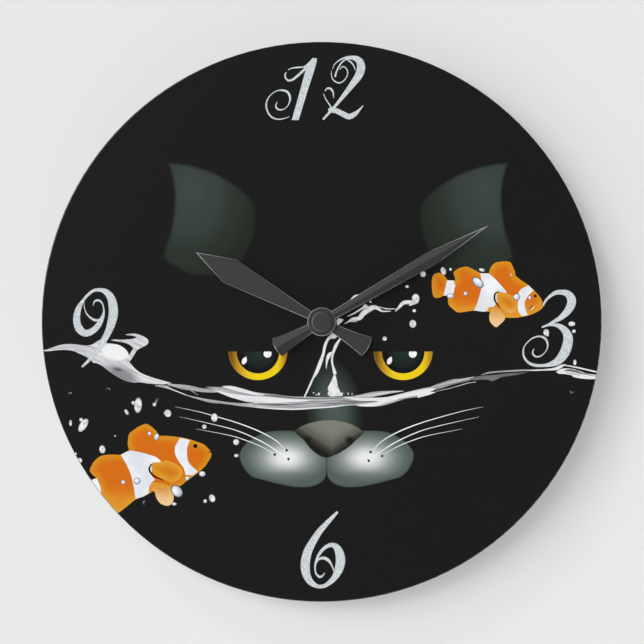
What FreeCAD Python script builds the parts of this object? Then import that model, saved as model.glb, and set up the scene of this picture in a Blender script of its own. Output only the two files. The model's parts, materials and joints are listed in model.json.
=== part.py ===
import FreeCAD, Part
import math
import os

from FreeCAD import Vector

# Round wall clock: a printed acrylic disc hung on a battery quartz movement.
# Millimetres. +Z is up (12 o'clock), +X is 3 o'clock, and the wall is the plane y = 0.
# Sizes along the depth are distances forward of the wall, so a depth d lies at y = -d.
# Places across the clock are (x, z) pairs measured from the hand axis.

# ---------------------------------------------------------------- dial
DIAL_R = 136.5  # 10.75 in clock
DIAL_EDGE_ROUND = 0.5
DIAL_HOLE_R = 4.25
INK = 0.1

# ---------------------------------------------------------------- depth stack
COVER_FAR = 1.2  # rear cover: wall plane to here
CASE_FAR = 16.0
CASE_FRONT_WALL = 1.4
CASE_FLOOR = CASE_FAR - CASE_FRONT_WALL  # inside face of the case's front wall
HANGER_SHEET = 1.0
HANGER_FAR = CASE_FAR + HANGER_SHEET
WASHER_FAR = HANGER_FAR + 1.0
DISC_FAR = WASHER_FAR + 3.2
INK_FAR = DISC_FAR + INK
BRASS_WASHER_FAR = INK_FAR + 0.6
NUT_FAR = BRASS_WASHER_FAR + 2.0
BUSHING_FAR = NUT_FAR + 0.6
HOUR_HAND_NEAR = BUSHING_FAR + 1.0
HOUR_PIPE_FAR = HOUR_HAND_NEAR + 1.1
MINUTE_HAND_NEAR = HOUR_HAND_NEAR + 2.5
MINUTE_PIPE_FAR = MINUTE_HAND_NEAR + 1.2
SECONDS_ARBOR_FAR = MINUTE_PIPE_FAR - 0.3
CAP_NEAR = MINUTE_HAND_NEAR + 0.7
CAP_FAR = CAP_NEAR + 1.7

# ---------------------------------------------------------------- coaxial pipes
SECONDS_ARBOR_R = 0.5
MINUTE_PIPE_R, MINUTE_PIPE_BORE = 1.55, 0.58
HOUR_PIPE_R, HOUR_PIPE_BORE = 2.5, 1.63
BUSHING_R, BUSHING_BORE = 4.0, 2.58
BUSHING_FLANGE_R, BUSHING_FLANGE = 6.2, 0.7
THREAD_PITCH, THREAD_DEPTH = 0.75, 0.35
NUT_ACROSS_FLATS = 12.0
NUT_BEVEL = math.radians(30.0)
BRASS_WASHER_R, RUBBER_WASHER_R = 6.8, 11.0

# ---------------------------------------------------------------- hands
HOUR_ANGLE, MINUTE_ANGLE = -61.1, 60.0  # degrees clockwise from 12 at rest
HOUR_TIP, HOUR_WIDE_AT, HOUR_HALF, HOUR_NECK_HALF = 69.9, 51.2, 6.35, 1.85
MINUTE_TIP, MINUTE_WIDE_AT, MINUTE_HALF, MINUTE_NECK_HALF = 93.5, 62.0, 3.5, 2.0
HOUR_SHOULDER_R, MINUTE_SHOULDER_R = 1.0, 60.0  # rounding of the blade's two side corners
HOUR_BOSS_R, MINUTE_BOSS_R, CAP_R = 6.5, 6.9, 4.9
HOUR_COLLET_R, MINUTE_COLLET_R, COLLET = 3.3, 2.6, 0.7
TAIL_FROM, TAIL_MIDDLE = 3.0, 14.6
TAIL_END, TAIL_CORNER = 26.0, 24.9  # from the axis to the tail's bulged end and to its corners
TAIL_ROOT_HALF, TAIL_MIDDLE_HALF, TAIL_HALF = 2.1, 3.15, 5.1
HAND_RIDGE = 0.7  # thickness along the blade's centre line
HOUR_FALL, MINUTE_FALL = 0.04, 0.08  # how fast the blade thins to either side of the ridge
HAND_BEVEL, BOSS_BEVEL = 0.3, 0.2
CAP_ROUND = 0.7

# ---------------------------------------------------------------- movement case
CASE_HALF = 28.0
CASE_WALL = 1.2
CASE_CORNER_R = 3.0
BATTERY_R, BATTERY_FROM, BATTERY_TO = 7.25, -24.2, 24.8
NUB_R, NUB, CAN_ROUND = 2.75, 1.0, 0.5
BAY_HALF = 7.6
BATTERY_Z = -CASE_HALF + CASE_WALL + BAY_HALF
BAY_TOP = BATTERY_Z + BAY_HALF
BAY_WALL = 1.0
BAY_FLOOR = 15.2
BATTERY_DEPTH = BAY_FLOOR - 0.15 - BATTERY_R
TRAIN_BOTTOM = BAY_TOP + BAY_WALL
INNER = CASE_HALF - CASE_WALL
RUNNING = 0.05  # radial clearance of pivots
SHAKE = 0.05  # end clearance of arbors
PIVOT_R, ARBOR_R = 0.35, 0.6
STEM_CLEARANCE = 0.1

# ---------------------------------------------------------------- gears
PRESSURE = math.radians(30.0)
ADDENDUM, DEDENDUM = 0.8, 1.05  # in modules
THINNING = 0.14  # share of the module taken off each tooth's thickness
MODULE = 0.3
SECONDS_TEETH, THIRD_TEETH, FIFTH_TEETH, CENTRE_TEETH = 60, 60, 60, 64
SECONDS_PINION, THIRD_PINION, FIFTH_PINION, ROTOR_PINION = 8, 8, 10, 12
CANNON_TEETH, MOTION_TEETH, MOTION_PINION, HOUR_TEETH, KNOB_TEETH = 14, 42, 12, 48, 14
MOTION_MODULE = 0.4
THIRD_DISTANCE = MODULE * (CENTRE_TEETH + THIRD_PINION) / 2
THIRD_MODULE = 2 * THIRD_DISTANCE / (THIRD_TEETH + SECONDS_PINION)
FIFTH_DISTANCE = MODULE * (SECONDS_TEETH + FIFTH_PINION) / 2
ROTOR_DISTANCE = MODULE * (FIFTH_TEETH + ROTOR_PINION) / 2
MOTION_DISTANCE = MOTION_MODULE * (CANNON_TEETH + MOTION_TEETH) / 2
HOUR_MODULE = 2 * MOTION_DISTANCE / (HOUR_TEETH + MOTION_PINION)


def polar(origin, distance, degrees):
    """The point at that distance and direction from origin, across the clock."""
    a = math.radians(degrees)
    return (origin[0] + distance * math.cos(a), origin[1] + distance * math.sin(a))


CENTRE = (0.0, 0.0)
THIRD_AT = polar(CENTRE, THIRD_DISTANCE, 20.0)
FIFTH_AT = polar(CENTRE, FIFTH_DISTANCE, 150.0)
ROTOR_AT = polar(FIFTH_AT, ROTOR_DISTANCE, 105.6)
MOTION_AT = polar(CENTRE, MOTION_DISTANCE, 165.0)
KNOB_AT = polar(MOTION_AT, MOTION_DISTANCE, 215.0)

# ---------------------------------------------------------------- train layers (near, far)
REAR_PLATE = (3.2, 4.2)
MIDDLE_PLATE = (9.4, 10.4)
ROTOR_PINION_LAYER = (4.6, 5.8)
FIFTH_LAYER = (4.8, 5.6)
FIFTH_PINION_LAYER = (6.6, 7.9)
SECONDS_LAYER = (6.9, 7.7)
SECONDS_PINION_LAYER = (7.7, 9.25)
THIRD_LAYER = (8.3, 9.1)
THIRD_PINION_LAYER = (10.7, 11.9)
CENTRE_LAYER = (11.0, 11.8)
CLUTCH_LAYER = (11.82, 11.97)
CANNON_LAYER = (12.0, 13.2)
MOTION_LAYER = (12.2, 13.0)
MOTION_PINION_LAYER = (13.0, 14.3)
HOUR_LAYER = (13.4, 14.3)
STATOR_LAYER = (7.0, 8.0)
CORE_LAYER = (6.0, 7.0)
MAGNET_LAYER = (6.4, 8.6)
BOARD_LAYER = (5.0, 6.0)

# ---------------------------------------------------------------- small parts of the train
THIRD_ARBOR_R, THIRD_PIVOT_FAR = 0.85, 13.0
ROTOR_ARBOR_R, MAGNET_R = 0.7, 2.5
WINDOW_R, WINDOW_AT = 1.6, 5.6  # three windows in the centre wheel
CLUTCH_R, CLUTCH_NOTCH_R, CLUTCH_NOTCH_AT = 3.0, 0.7, 3.1
PIPE_FLANGE_R = 2.2
PIPE_GAP, FLANGE_GAP = 0.1, 0.02  # from the minute pipe to the middle plate and to the centre wheel

# ---------------------------------------------------------------- posts on the case's front wall
PLATE_POSTS = [(15.0, -7.8), (-13.5, -8.0), (21.8, 8.0), (-23.5, 8.5), (6.5, 16.5)]
COIL_Z = 23.2
MOTOR_SCREWS = [(-23.6, COIL_Z), (1.6, COIL_Z)]
BOARD_PEGS = [(11.6, 24.0), (22.2, 17.0)]
POST_R, POST_NECK_R, POST_TIP_R = 1.5, 1.0, 0.6
SCREW_POST_R, SCREW_BORE_R = 1.6, 0.65
PEG_R, PEG_TIP_R, PEG_TIP_NEAR = 1.2, 0.5, 4.6
MOTION_STUD_R, MOTION_STUD_NEAR = 0.8, 11.9
THIRD_SOCKET_R, THIRD_SOCKET_NEAR, THIRD_PIVOT_R = 1.0, 12.1, 0.4
KNOB_SOCKET_R, KNOB_SOCKET_NEAR, KNOB_PIVOT_R = 1.5, 13.5, 0.8

THIRD_OPENING_R = 1.6  # the middle plate's hole for the third wheel's arbor

# ---------------------------------------------------------------- openings and edges of the case
NOTCH_HALF, NOTCH_FAR = 10.0, 9.0  # finger notch in the bay's bottom wall
CONTACT_SLOT_HALF, CONTACT_SLOT_FAR = 0.6, 6.2  # slots in the bay's top wall that the contacts pass through
COVER_GAP, RIM_WALL, RIM_FAR = 0.15, 0.8, 2.4  # the rear cover's locating rim

# ---------------------------------------------------------------- set knob, hanger
KNOB_R, KNOB_NEAR, KNOB_FAR = 4.2, 0.2, 2.1
KNOB_STEM_R = 1.5
WELL_R, WELL_WALL, WELL_FLOOR, WELL_BASE = 5.0, 0.6, 2.4, 0.7
KNOB_FLUTES, FLUTE_R, FLUTE_OFFSET = 18, 0.5, 0.15
HANGER_HALF, HANGER_BOTTOM, HANGER_BEND, HANGER_TOP = 9.0, -11.0, 30.5, 51.0
HANGER_FOOT_R, HANGER_TOP_R = 3.0, 7.0
HANGER_CLEARANCE = 0.1  # radial room round the bushing
EYE_PLATE = (1.4, 1.4 + HANGER_SHEET)
EYE_R, EYE_SLOT_R = 4.5, 2.1
EYE_Z, EYE_SLOT_TOP = 39.0, 46.5


# ================================================================ shape helpers
def rod(radius, near, far, at=CENTRE):
    """A cylinder along the depth."""
    return Part.makeCylinder(radius, far - near, Vector(at[0], -near, at[1]), Vector(0, -1, 0))


def ring(outer, inner, near, far, at=CENTRE):
    return rod(outer, near, far, at).cut(rod(inner, near, far, at))


def slab(x0, x1, z0, z1, near, far):
    """A box between two x, two z and two depths."""
    return Part.makeBox(x1 - x0, far - near, z1 - z0, Vector(x0, -far, z0))


def extrude(wire, near, far):
    """A flat wire drawn at depth near, made solid from there to far."""
    return Part.Face(wire).extrude(Vector(0, near - far, 0))


def outline(corners, depth):
    """A closed wire at that depth through (x, z, radius) corners, each rounded by its radius."""
    count = len(corners)
    points = [Vector(x, -depth, z) for x, z, _ in corners]
    stops = []
    for i in range(count):
        here, radius = points[i], corners[i][2]
        back = (points[i - 1] - here).normalize()
        ahead = (points[(i + 1) % count] - here).normalize()
        if radius <= 0:
            stops.append((here, None, here))
            continue
        half_open = back.getAngle(ahead) / 2
        reach = radius / math.tan(half_open)
        middle = (back + ahead).normalize() * (radius / math.sin(half_open) - radius)
        stops.append((here + back * reach, here + middle, here + ahead * reach))
    edges = []
    for i in range(count):
        start, bend, end = stops[i]
        if bend is not None:
            edges.append(Part.Arc(start, bend, end).toShape())
        following = stops[(i + 1) % count][0]
        if (following - end).Length > 1e-6:
            edges.append(Part.LineSegment(end, following).toShape())
    return Part.Wire(edges)


def rounded_plate(corners, near, far):
    return extrude(outline(corners, near), near, far)


def rounded_box(x0, x1, z0, z1, radius, near, far):
    corners = [(x0, z0, radius), (x1, z0, radius), (x1, z1, radius), (x0, z1, radius)]
    return rounded_plate(corners, near, far)


def strip(path, thickness, near, far):
    """Sheet metal seen edge-on: a band of that thickness along (x, z) points, wide along the depth."""
    left, right = [], []
    for i, (x, z) in enumerate(path):
        before = path[max(i - 1, 0)]
        after = path[min(i + 1, len(path) - 1)]
        run_in = (x - before[0], z - before[1]) if i else (after[0] - x, after[1] - z)
        run_out = (after[0] - x, after[1] - z) if i < len(path) - 1 else run_in
        a, b = math.atan2(run_in[1], run_in[0]), math.atan2(run_out[1], run_out[0])
        turn = (b - a + math.pi) % (2 * math.pi) - math.pi
        middle = a + turn / 2 + math.pi / 2
        reach = thickness / 2 / math.cos(turn / 2)
        left.append((x + reach * math.cos(middle), z + reach * math.sin(middle), 0))
        right.append((x - reach * math.cos(middle), z - reach * math.sin(middle), 0))
    return rounded_plate(left + right[::-1], near, far)


def fused(first, *others):
    return first.fuse(list(others)).removeSplitter()


def turned(shape, degrees):
    """The shape turned clockwise, as seen from the front, about the hand axis."""
    copy = shape.copy()
    copy.rotate(Vector(0, 0, 0), Vector(0, 1, 0), degrees)
    return copy


# ================================================================ gears
def involute(angle):
    return math.tan(angle) - angle


def gear(teeth, module, phase, at, near, far):
    """A spur gear with a tooth centred on direction phase (radians)."""
    pitch_r = module * teeth / 2
    base_r = pitch_r * math.cos(PRESSURE)
    tip_r = pitch_r + ADDENDUM * module
    root_r = pitch_r - DEDENDUM * module
    half_at_pitch = math.pi / (2 * teeth) - THINNING * module / (2 * pitch_r)

    def half_angle(r):
        """Half of a tooth's width at radius r, as an angle."""
        swept = involute(math.acos(min(1.0, base_r / r)))
        return half_at_pitch + involute(PRESSURE) - swept

    def point(r, angle):
        return Vector(at[0] + r * math.cos(angle), -near, at[1] + r * math.sin(angle))

    flank_r = max(root_r, base_r)
    middle_r = (flank_r + tip_r) / 2
    foot, waist, tip = half_angle(flank_r), half_angle(middle_r), half_angle(tip_r)
    step = 2 * math.pi / teeth
    edges = []
    for i in range(teeth):
        centre = phase + i * step
        rising = [point(r, centre - h) for r, h in ((flank_r, foot), (middle_r, waist), (tip_r, tip))]
        falling = [point(r, centre + h) for r, h in ((tip_r, tip), (middle_r, waist), (flank_r, foot))]
        root_in, root_out = point(root_r, centre - foot), point(root_r, centre + foot)
        next_root = point(root_r, centre + step - foot)
        if base_r > root_r:
            edges.append(Part.LineSegment(root_in, rising[0]).toShape())
        edges.append(Part.Arc(*rising).toShape())
        edges.append(Part.Arc(rising[2], point(tip_r, centre), falling[0]).toShape())
        edges.append(Part.Arc(*falling).toShape())
        if base_r > root_r:
            edges.append(Part.LineSegment(falling[2], root_out).toShape())
        edges.append(Part.Arc(root_out, point(root_r, centre + step / 2), next_root).toShape())
    return extrude(Part.Wire(edges), near, far)


def direction(a, b):
    return math.atan2(b[1] - a[1], b[0] - a[0])


def meshing_phase(teeth_a, phase_a, at_a, teeth_b, at_b):
    """The phase that puts gear b's gap opposite gear a's tooth on their line of centres."""
    share = (phase_a - direction(at_a, at_b)) * teeth_a / (2 * math.pi)
    return direction(at_b, at_a) + (0.5 - share) * 2 * math.pi / teeth_b


SECONDS_PHASE = 0.0
FIFTH_PINION_PHASE = meshing_phase(SECONDS_TEETH, SECONDS_PHASE, CENTRE, FIFTH_PINION, FIFTH_AT)
THIRD_PHASE = meshing_phase(SECONDS_PINION, SECONDS_PHASE, CENTRE, THIRD_TEETH, THIRD_AT)
ROTOR_PHASE = meshing_phase(FIFTH_TEETH, 0.0, FIFTH_AT, ROTOR_PINION, ROTOR_AT)
CENTRE_PHASE = meshing_phase(THIRD_PINION, 0.0, THIRD_AT, CENTRE_TEETH, CENTRE)
MOTION_PHASE = meshing_phase(CANNON_TEETH, 0.0, CENTRE, MOTION_TEETH, MOTION_AT)
HOUR_PHASE = meshing_phase(MOTION_PINION, 0.0, MOTION_AT, HOUR_TEETH, CENTRE)
KNOB_PHASE = meshing_phase(MOTION_TEETH, MOTION_PHASE, MOTION_AT, KNOB_TEETH, KNOB_AT)


# ================================================================ dial side
def acrylic_disc():
    disc = rod(DIAL_R, WASHER_FAR, DISC_FAR)
    rims = [e for e in disc.Edges if e.Length > 6 * DIAL_R and e.isClosed()]
    disc = disc.makeFillet(DIAL_EDGE_ROUND, rims)
    return disc.cut(rod(DIAL_HOLE_R, WASHER_FAR, DISC_FAR))


def printed_face():
    """The ink film on the front of the disc."""
    return ring(DIAL_R - DIAL_EDGE_ROUND, DIAL_HOLE_R, DISC_FAR, INK_FAR)


def rubber_washer():
    return ring(RUBBER_WASHER_R, DIAL_HOLE_R, HANGER_FAR, WASHER_FAR)


def brass_washer():
    return ring(BRASS_WASHER_R, DIAL_HOLE_R, INK_FAR, BRASS_WASHER_FAR)


def hex_nut():
    """A hexagon nut with its front corners bevelled round."""
    flat_r, thickness = NUT_ACROSS_FLATS / 2, NUT_FAR - BRASS_WASHER_FAR
    corners = [(*polar(CENTRE, flat_r / math.cos(math.pi / 6), 60 * i), 0) for i in range(6)]
    nut = rounded_plate(corners, BRASS_WASHER_FAR, NUT_FAR)
    cone = Part.makeCone(flat_r + thickness / math.tan(NUT_BEVEL), flat_r, thickness,
                         Vector(0, -BRASS_WASHER_FAR, 0), Vector(0, -1, 0))
    return nut.common(cone).cut(rod(BUSHING_R + 0.02, BRASS_WASHER_FAR, NUT_FAR))


def dial_bushing():
    """Brass bushing with thread grooves, held in the case's front wall by its flange."""
    flange_far = CASE_FLOOR + BUSHING_FLANGE
    profile = [(BUSHING_BORE, CASE_FLOOR), (BUSHING_FLANGE_R, CASE_FLOOR),
               (BUSHING_FLANGE_R, flange_far), (BUSHING_R, flange_far)]
    depth = CASE_FAR + 0.4
    while depth + THREAD_PITCH < BUSHING_FAR:
        profile += [(BUSHING_R, depth), (BUSHING_R - THREAD_DEPTH, depth + THREAD_PITCH / 2)]
        depth += THREAD_PITCH
    profile += [(BUSHING_R, depth), (BUSHING_R - THREAD_DEPTH, BUSHING_FAR), (BUSHING_BORE, BUSHING_FAR)]
    points = [Vector(r, -d, 0) for r, d in profile]
    face = Part.Face(Part.makePolygon(points + points[:1]))
    return face.revolve(Vector(0, 0, 0), Vector(0, 1, 0), 360)


def hand_tail(near):
    """The plate of a hand's tail: hollow flanks flaring to a bulged end."""

    def at(x, z):
        return Vector(x, -near, -z)

    def flank(side):
        middle = at(side * TAIL_MIDDLE_HALF, TAIL_MIDDLE)
        return Part.Arc(at(side * TAIL_ROOT_HALF, TAIL_FROM), middle, at(side * TAIL_HALF, TAIL_CORNER))

    end = Part.Arc(at(TAIL_HALF, TAIL_CORNER), at(0, TAIL_END), at(-TAIL_HALF, TAIL_CORNER))
    root = Part.LineSegment(at(-TAIL_ROOT_HALF, TAIL_FROM), at(TAIL_ROOT_HALF, TAIL_FROM))
    edges = [curve.toShape() for curve in (flank(1), end, flank(-1), root)]
    return extrude(Part.Wire(Part.__sortEdges__(edges)), near, near + HAND_RIDGE)


def front_bevelled(plate, far, bevel):
    """A flat plate with the edges of its front face, at depth far, bevelled."""
    return plate.makeChamfer(bevel, [e for e in plate.Edges if e.BoundBox.YMax < -far + bevel / 2])


def hand_blade(tip, wide_at, half, shoulder, neck, neck_at, near, fall):
    """A blade pointing at 12 with a flared tail, its front falling from a centre ridge to bevelled rims."""
    right = [(half, wide_at, shoulder), (neck, neck_at, 0), (TAIL_ROOT_HALF, -TAIL_FROM, 0)]
    left = [(-x, z, radius) for x, z, radius in reversed(right)]
    plate = fused(rounded_plate([(0, tip, 0)] + right + left, near, near + HAND_RIDGE), hand_tail(near))
    reach, bottom = 2 * half, -TAIL_END - 1
    ridge, eave = -near - HAND_RIDGE, -near - HAND_RIDGE + fall * reach
    roof = [Vector(-reach, -near, bottom), Vector(reach, -near, bottom), Vector(reach, eave, bottom),
            Vector(0, ridge, bottom), Vector(-reach, eave, bottom)]
    prism = Part.Face(Part.makePolygon(roof + roof[:1])).extrude(Vector(0, 0, tip - 2 * bottom))
    return front_bevelled(plate, near + HAND_RIDGE, HAND_BEVEL).common(prism)


def hour_hand():
    near = HOUR_HAND_NEAR
    blade = hand_blade(HOUR_TIP, HOUR_WIDE_AT, HOUR_HALF, HOUR_SHOULDER_R, HOUR_NECK_HALF, HOUR_BOSS_R - 1,
                       near, HOUR_FALL)
    far = near + HAND_RIDGE + 0.1
    boss = front_bevelled(rod(HOUR_BOSS_R, near - 0.1, far), far, BOSS_BEVEL)
    collet = rod(HOUR_COLLET_R, near - COLLET, near)
    bore = rod(HOUR_PIPE_R, near - 1, near + 2)
    return turned(fused(blade, boss, collet).cut(bore), HOUR_ANGLE)


def minute_hand():
    near = MINUTE_HAND_NEAR
    blade = hand_blade(MINUTE_TIP, MINUTE_WIDE_AT, MINUTE_HALF, MINUTE_SHOULDER_R, MINUTE_NECK_HALF,
                       MINUTE_BOSS_R - 1, near, MINUTE_FALL)
    far = near + HAND_RIDGE
    boss = front_bevelled(rod(MINUTE_BOSS_R, near, far), far, BOSS_BEVEL)
    collet = rod(MINUTE_COLLET_R, near - COLLET, near)
    bore = rod(MINUTE_PIPE_R, near - 1, near + 2)
    return turned(fused(blade, boss, collet).cut(bore), MINUTE_ANGLE)


def hand_cap():
    """The closed cap pressed on the end of the minute pipe."""
    cap = rod(CAP_R, CAP_NEAR, CAP_FAR)
    front = [e for e in cap.Edges if e.isClosed() and abs(e.CenterOfMass.y + CAP_FAR) < 1e-6]
    cap = cap.makeFillet(CAP_ROUND, front)
    return cap.cut(rod(MINUTE_PIPE_R, CAP_NEAR, MINUTE_PIPE_FAR + 0.1))


# ================================================================ movement case
def movement_case():
    body = rounded_box(-CASE_HALF, CASE_HALF, -CASE_HALF, CASE_HALF, CASE_CORNER_R, COVER_FAR, CASE_FAR)
    train_room = slab(-INNER, INNER, TRAIN_BOTTOM, INNER, COVER_FAR, CASE_FLOOR)
    bay = slab(-INNER, INNER, -INNER, BAY_TOP, COVER_FAR, BAY_FLOOR)
    finger_notch = slab(-NOTCH_HALF, NOTCH_HALF, -CASE_HALF - 1, -INNER, COVER_FAR, NOTCH_FAR)
    contact_slots = [slab(x0, x1, BAY_TOP - 1, TRAIN_BOTTOM + 1, COVER_FAR, CONTACT_SLOT_FAR)
                     for x0, x1 in ((-INNER, -INNER + CONTACT_SLOT_HALF), (INNER - CONTACT_SLOT_HALF, INNER))]
    seat = rod(BUSHING_FLANGE_R, CASE_FLOOR, CASE_FLOOR + BUSHING_FLANGE)
    hole = rod(BUSHING_R, CASE_FLOOR, CASE_FAR)
    body = body.cut([train_room, bay, finger_notch, seat, hole] + contact_slots)
    posts = []
    for at in PLATE_POSTS:
        posts += [rod(POST_R, MIDDLE_PLATE[1], CASE_FLOOR, at),
                  rod(POST_NECK_R, REAR_PLATE[1], MIDDLE_PLATE[1], at),
                  rod(POST_TIP_R, REAR_PLATE[0], REAR_PLATE[1], at)]
    for at in MOTOR_SCREWS:
        posts.append(ring(SCREW_POST_R, SCREW_BORE_R, STATOR_LAYER[1], CASE_FLOOR, at))
    for at in BOARD_PEGS:
        posts += [rod(PEG_R, BOARD_LAYER[1], CASE_FLOOR, at),
                  rod(PEG_TIP_R, PEG_TIP_NEAR, BOARD_LAYER[1], at)]
    posts.append(rod(MOTION_STUD_R, MOTION_STUD_NEAR, CASE_FLOOR, MOTION_AT))
    posts.append(ring(THIRD_SOCKET_R, THIRD_PIVOT_R + RUNNING, THIRD_SOCKET_NEAR, CASE_FLOOR, THIRD_AT))
    posts.append(ring(KNOB_SOCKET_R, KNOB_PIVOT_R + RUNNING, KNOB_SOCKET_NEAR, CASE_FLOOR, KNOB_AT))
    return fused(body, *posts)


def rear_cover():
    """The cover over the gear train, with a sunk well round the set knob and a rim that locates it."""
    top_r = CASE_CORNER_R
    cover = rounded_plate([(-CASE_HALF, BAY_TOP, 0), (CASE_HALF, BAY_TOP, 0),
                           (CASE_HALF, CASE_HALF, top_r), (-CASE_HALF, CASE_HALF, top_r)], 0, COVER_FAR)
    edge, bottom = INNER - COVER_GAP, TRAIN_BOTTOM + COVER_GAP
    inside = edge - RIM_WALL
    rim = slab(-edge, edge, bottom, edge, COVER_FAR, RIM_FAR)
    rim = rim.cut(slab(-inside, inside, bottom + RIM_WALL, inside, COVER_FAR, RIM_FAR))
    well_far = WELL_FLOOR + WELL_BASE
    well = rod(WELL_R + WELL_WALL, COVER_FAR, well_far, KNOB_AT)
    stem_hole = rod(KNOB_STEM_R + STEM_CLEARANCE, 0, well_far, KNOB_AT)
    return fused(cover, rim, well).cut([rod(WELL_R, 0, WELL_FLOOR, KNOB_AT), stem_hole])


# The outline of both train plates, which leaves the upper right corner to the circuit board.
PLATE_CORNERS = [(-25.3, -9.3, 1), (23.4, -9.3, 1), (23.4, 12.4, 1), (8.3, 12.4, 1), (8.3, 19.4, 1),
                 (-25.3, 19.4, 1)]


def rear_plate():
    """The train bridge that carries the rear pivots."""
    plate = rounded_plate(PLATE_CORNERS, *REAR_PLATE)
    pivots = [rod(PIVOT_R + RUNNING, *REAR_PLATE, at) for at in (CENTRE, THIRD_AT, FIFTH_AT, ROTOR_AT)]
    posts = [rod(POST_TIP_R + RUNNING, *REAR_PLATE, at) for at in PLATE_POSTS]
    return plate.cut(pivots + posts + [rod(KNOB_STEM_R + STEM_CLEARANCE, *REAR_PLATE, KNOB_AT)])


def middle_plate():
    plate = rounded_plate(PLATE_CORNERS, *MIDDLE_PLATE)
    pivots = [rod(PIVOT_R + RUNNING, *MIDDLE_PLATE, at) for at in (FIFTH_AT, ROTOR_AT)]
    posts = [rod(POST_NECK_R + RUNNING, *MIDDLE_PLATE, at) for at in PLATE_POSTS]
    openings = [rod(SECONDS_ARBOR_R + RUNNING, *MIDDLE_PLATE), rod(THIRD_OPENING_R, *MIDDLE_PLATE, THIRD_AT),
                rod(KNOB_STEM_R + STEM_CLEARANCE, *MIDDLE_PLATE, KNOB_AT)]
    return plate.cut(pivots + posts + openings)


def hanger_bracket():
    """Stamped steel hanger: clamped round the bushing, stepped back over the case to a keyhole eye."""
    half, fold = HANGER_HALF, HANGER_BEND - HANGER_SHEET
    base = rounded_plate([(-half, HANGER_BOTTOM, HANGER_FOOT_R), (half, HANGER_BOTTOM, HANGER_FOOT_R),
                          (half, HANGER_BEND, 0), (-half, HANGER_BEND, 0)], CASE_FAR, HANGER_FAR)
    shelf = slab(-half, half, fold, HANGER_BEND, EYE_PLATE[0], HANGER_FAR)
    eye = rounded_plate([(-half, fold, 0), (half, fold, 0), (half, HANGER_TOP, HANGER_TOP_R),
                         (-half, HANGER_TOP, HANGER_TOP_R)], *EYE_PLATE)
    keyhole = [rod(EYE_R, *EYE_PLATE, (0, EYE_Z)),
               slab(-EYE_SLOT_R, EYE_SLOT_R, EYE_Z, EYE_SLOT_TOP, *EYE_PLATE),
               rod(EYE_SLOT_R, *EYE_PLATE, (0, EYE_SLOT_TOP))]
    shaft_hole = rod(BUSHING_R + HANGER_CLEARANCE, CASE_FAR, HANGER_FAR)
    return fused(base, shelf, eye).cut(keyhole + [shaft_hole])


# ================================================================ gear train
def seconds_wheel():
    """Seconds wheel, its pinion and the long arbor up the centre, moulded in one."""
    wheel = gear(SECONDS_TEETH, MODULE, SECONDS_PHASE, CENTRE, *SECONDS_LAYER)
    pinion = gear(SECONDS_PINION, THIRD_MODULE, SECONDS_PHASE, CENTRE, *SECONDS_PINION_LAYER)
    front = rod(SECONDS_ARBOR_R, SECONDS_PINION_LAYER[1], SECONDS_ARBOR_FAR)
    back = rod(ARBOR_R, REAR_PLATE[1] + SHAKE, SECONDS_LAYER[0])
    pivot = rod(PIVOT_R, REAR_PLATE[0] + SHAKE, REAR_PLATE[1] + SHAKE)
    return fused(wheel, pinion, front, back, pivot)


def third_wheel():
    wheel = gear(THIRD_TEETH, THIRD_MODULE, THIRD_PHASE, THIRD_AT, *THIRD_LAYER)
    pinion = gear(THIRD_PINION, MODULE, 0.0, THIRD_AT, *THIRD_PINION_LAYER)
    arbor = rod(THIRD_ARBOR_R, THIRD_LAYER[1], THIRD_PINION_LAYER[0], THIRD_AT)
    front = rod(THIRD_PIVOT_R, THIRD_PINION_LAYER[1], THIRD_PIVOT_FAR, THIRD_AT)
    back = rod(ARBOR_R, REAR_PLATE[1] + SHAKE, THIRD_LAYER[0], THIRD_AT)
    pivot = rod(PIVOT_R, REAR_PLATE[0] + SHAKE, REAR_PLATE[1] + SHAKE, THIRD_AT)
    return fused(wheel, pinion, arbor, front, back, pivot)


def fifth_wheel():
    wheel = gear(FIFTH_TEETH, MODULE, 0.0, FIFTH_AT, *FIFTH_LAYER)
    pinion = gear(FIFTH_PINION, MODULE, FIFTH_PINION_PHASE, FIFTH_AT, *FIFTH_PINION_LAYER)
    arbor = rod(ARBOR_R, REAR_PLATE[1] + SHAKE, MIDDLE_PLATE[0] - SHAKE, FIFTH_AT)
    pivots = rod(PIVOT_R, REAR_PLATE[0] + SHAKE, MIDDLE_PLATE[1] - SHAKE, FIFTH_AT)
    return fused(wheel, pinion, arbor, pivots)


def rotor_pinion():
    pinion = gear(ROTOR_PINION, MODULE, ROTOR_PHASE, ROTOR_AT, *ROTOR_PINION_LAYER)
    arbor = rod(ROTOR_ARBOR_R, REAR_PLATE[1] + SHAKE, MIDDLE_PLATE[0] - SHAKE, ROTOR_AT)
    pivots = rod(PIVOT_R, REAR_PLATE[0] + SHAKE, MIDDLE_PLATE[1] - SHAKE, ROTOR_AT)
    return fused(pinion, arbor, pivots)


def rotor_magnet():
    return ring(MAGNET_R, ROTOR_ARBOR_R, *MAGNET_LAYER, ROTOR_AT)


def centre_wheel():
    """The wheel that drives the minute pipe through the friction clutch."""
    wheel = gear(CENTRE_TEETH, MODULE, CENTRE_PHASE, CENTRE, *CENTRE_LAYER)
    windows = [rod(WINDOW_R, *CENTRE_LAYER, polar(CENTRE, WINDOW_AT, 120 * i + 60)) for i in range(3)]
    return wheel.cut([rod(MINUTE_PIPE_R + RUNNING, *CENTRE_LAYER)] + windows)


def clutch_washer():
    """The thin spring washer that presses the centre wheel against the minute pipe's flange."""
    washer = ring(CLUTCH_R, MINUTE_PIPE_R, *CLUTCH_LAYER)
    notches = [rod(CLUTCH_NOTCH_R, *CLUTCH_LAYER, polar(CENTRE, CLUTCH_NOTCH_AT, 120 * i)) for i in range(3)]
    return washer.cut(notches)


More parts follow.
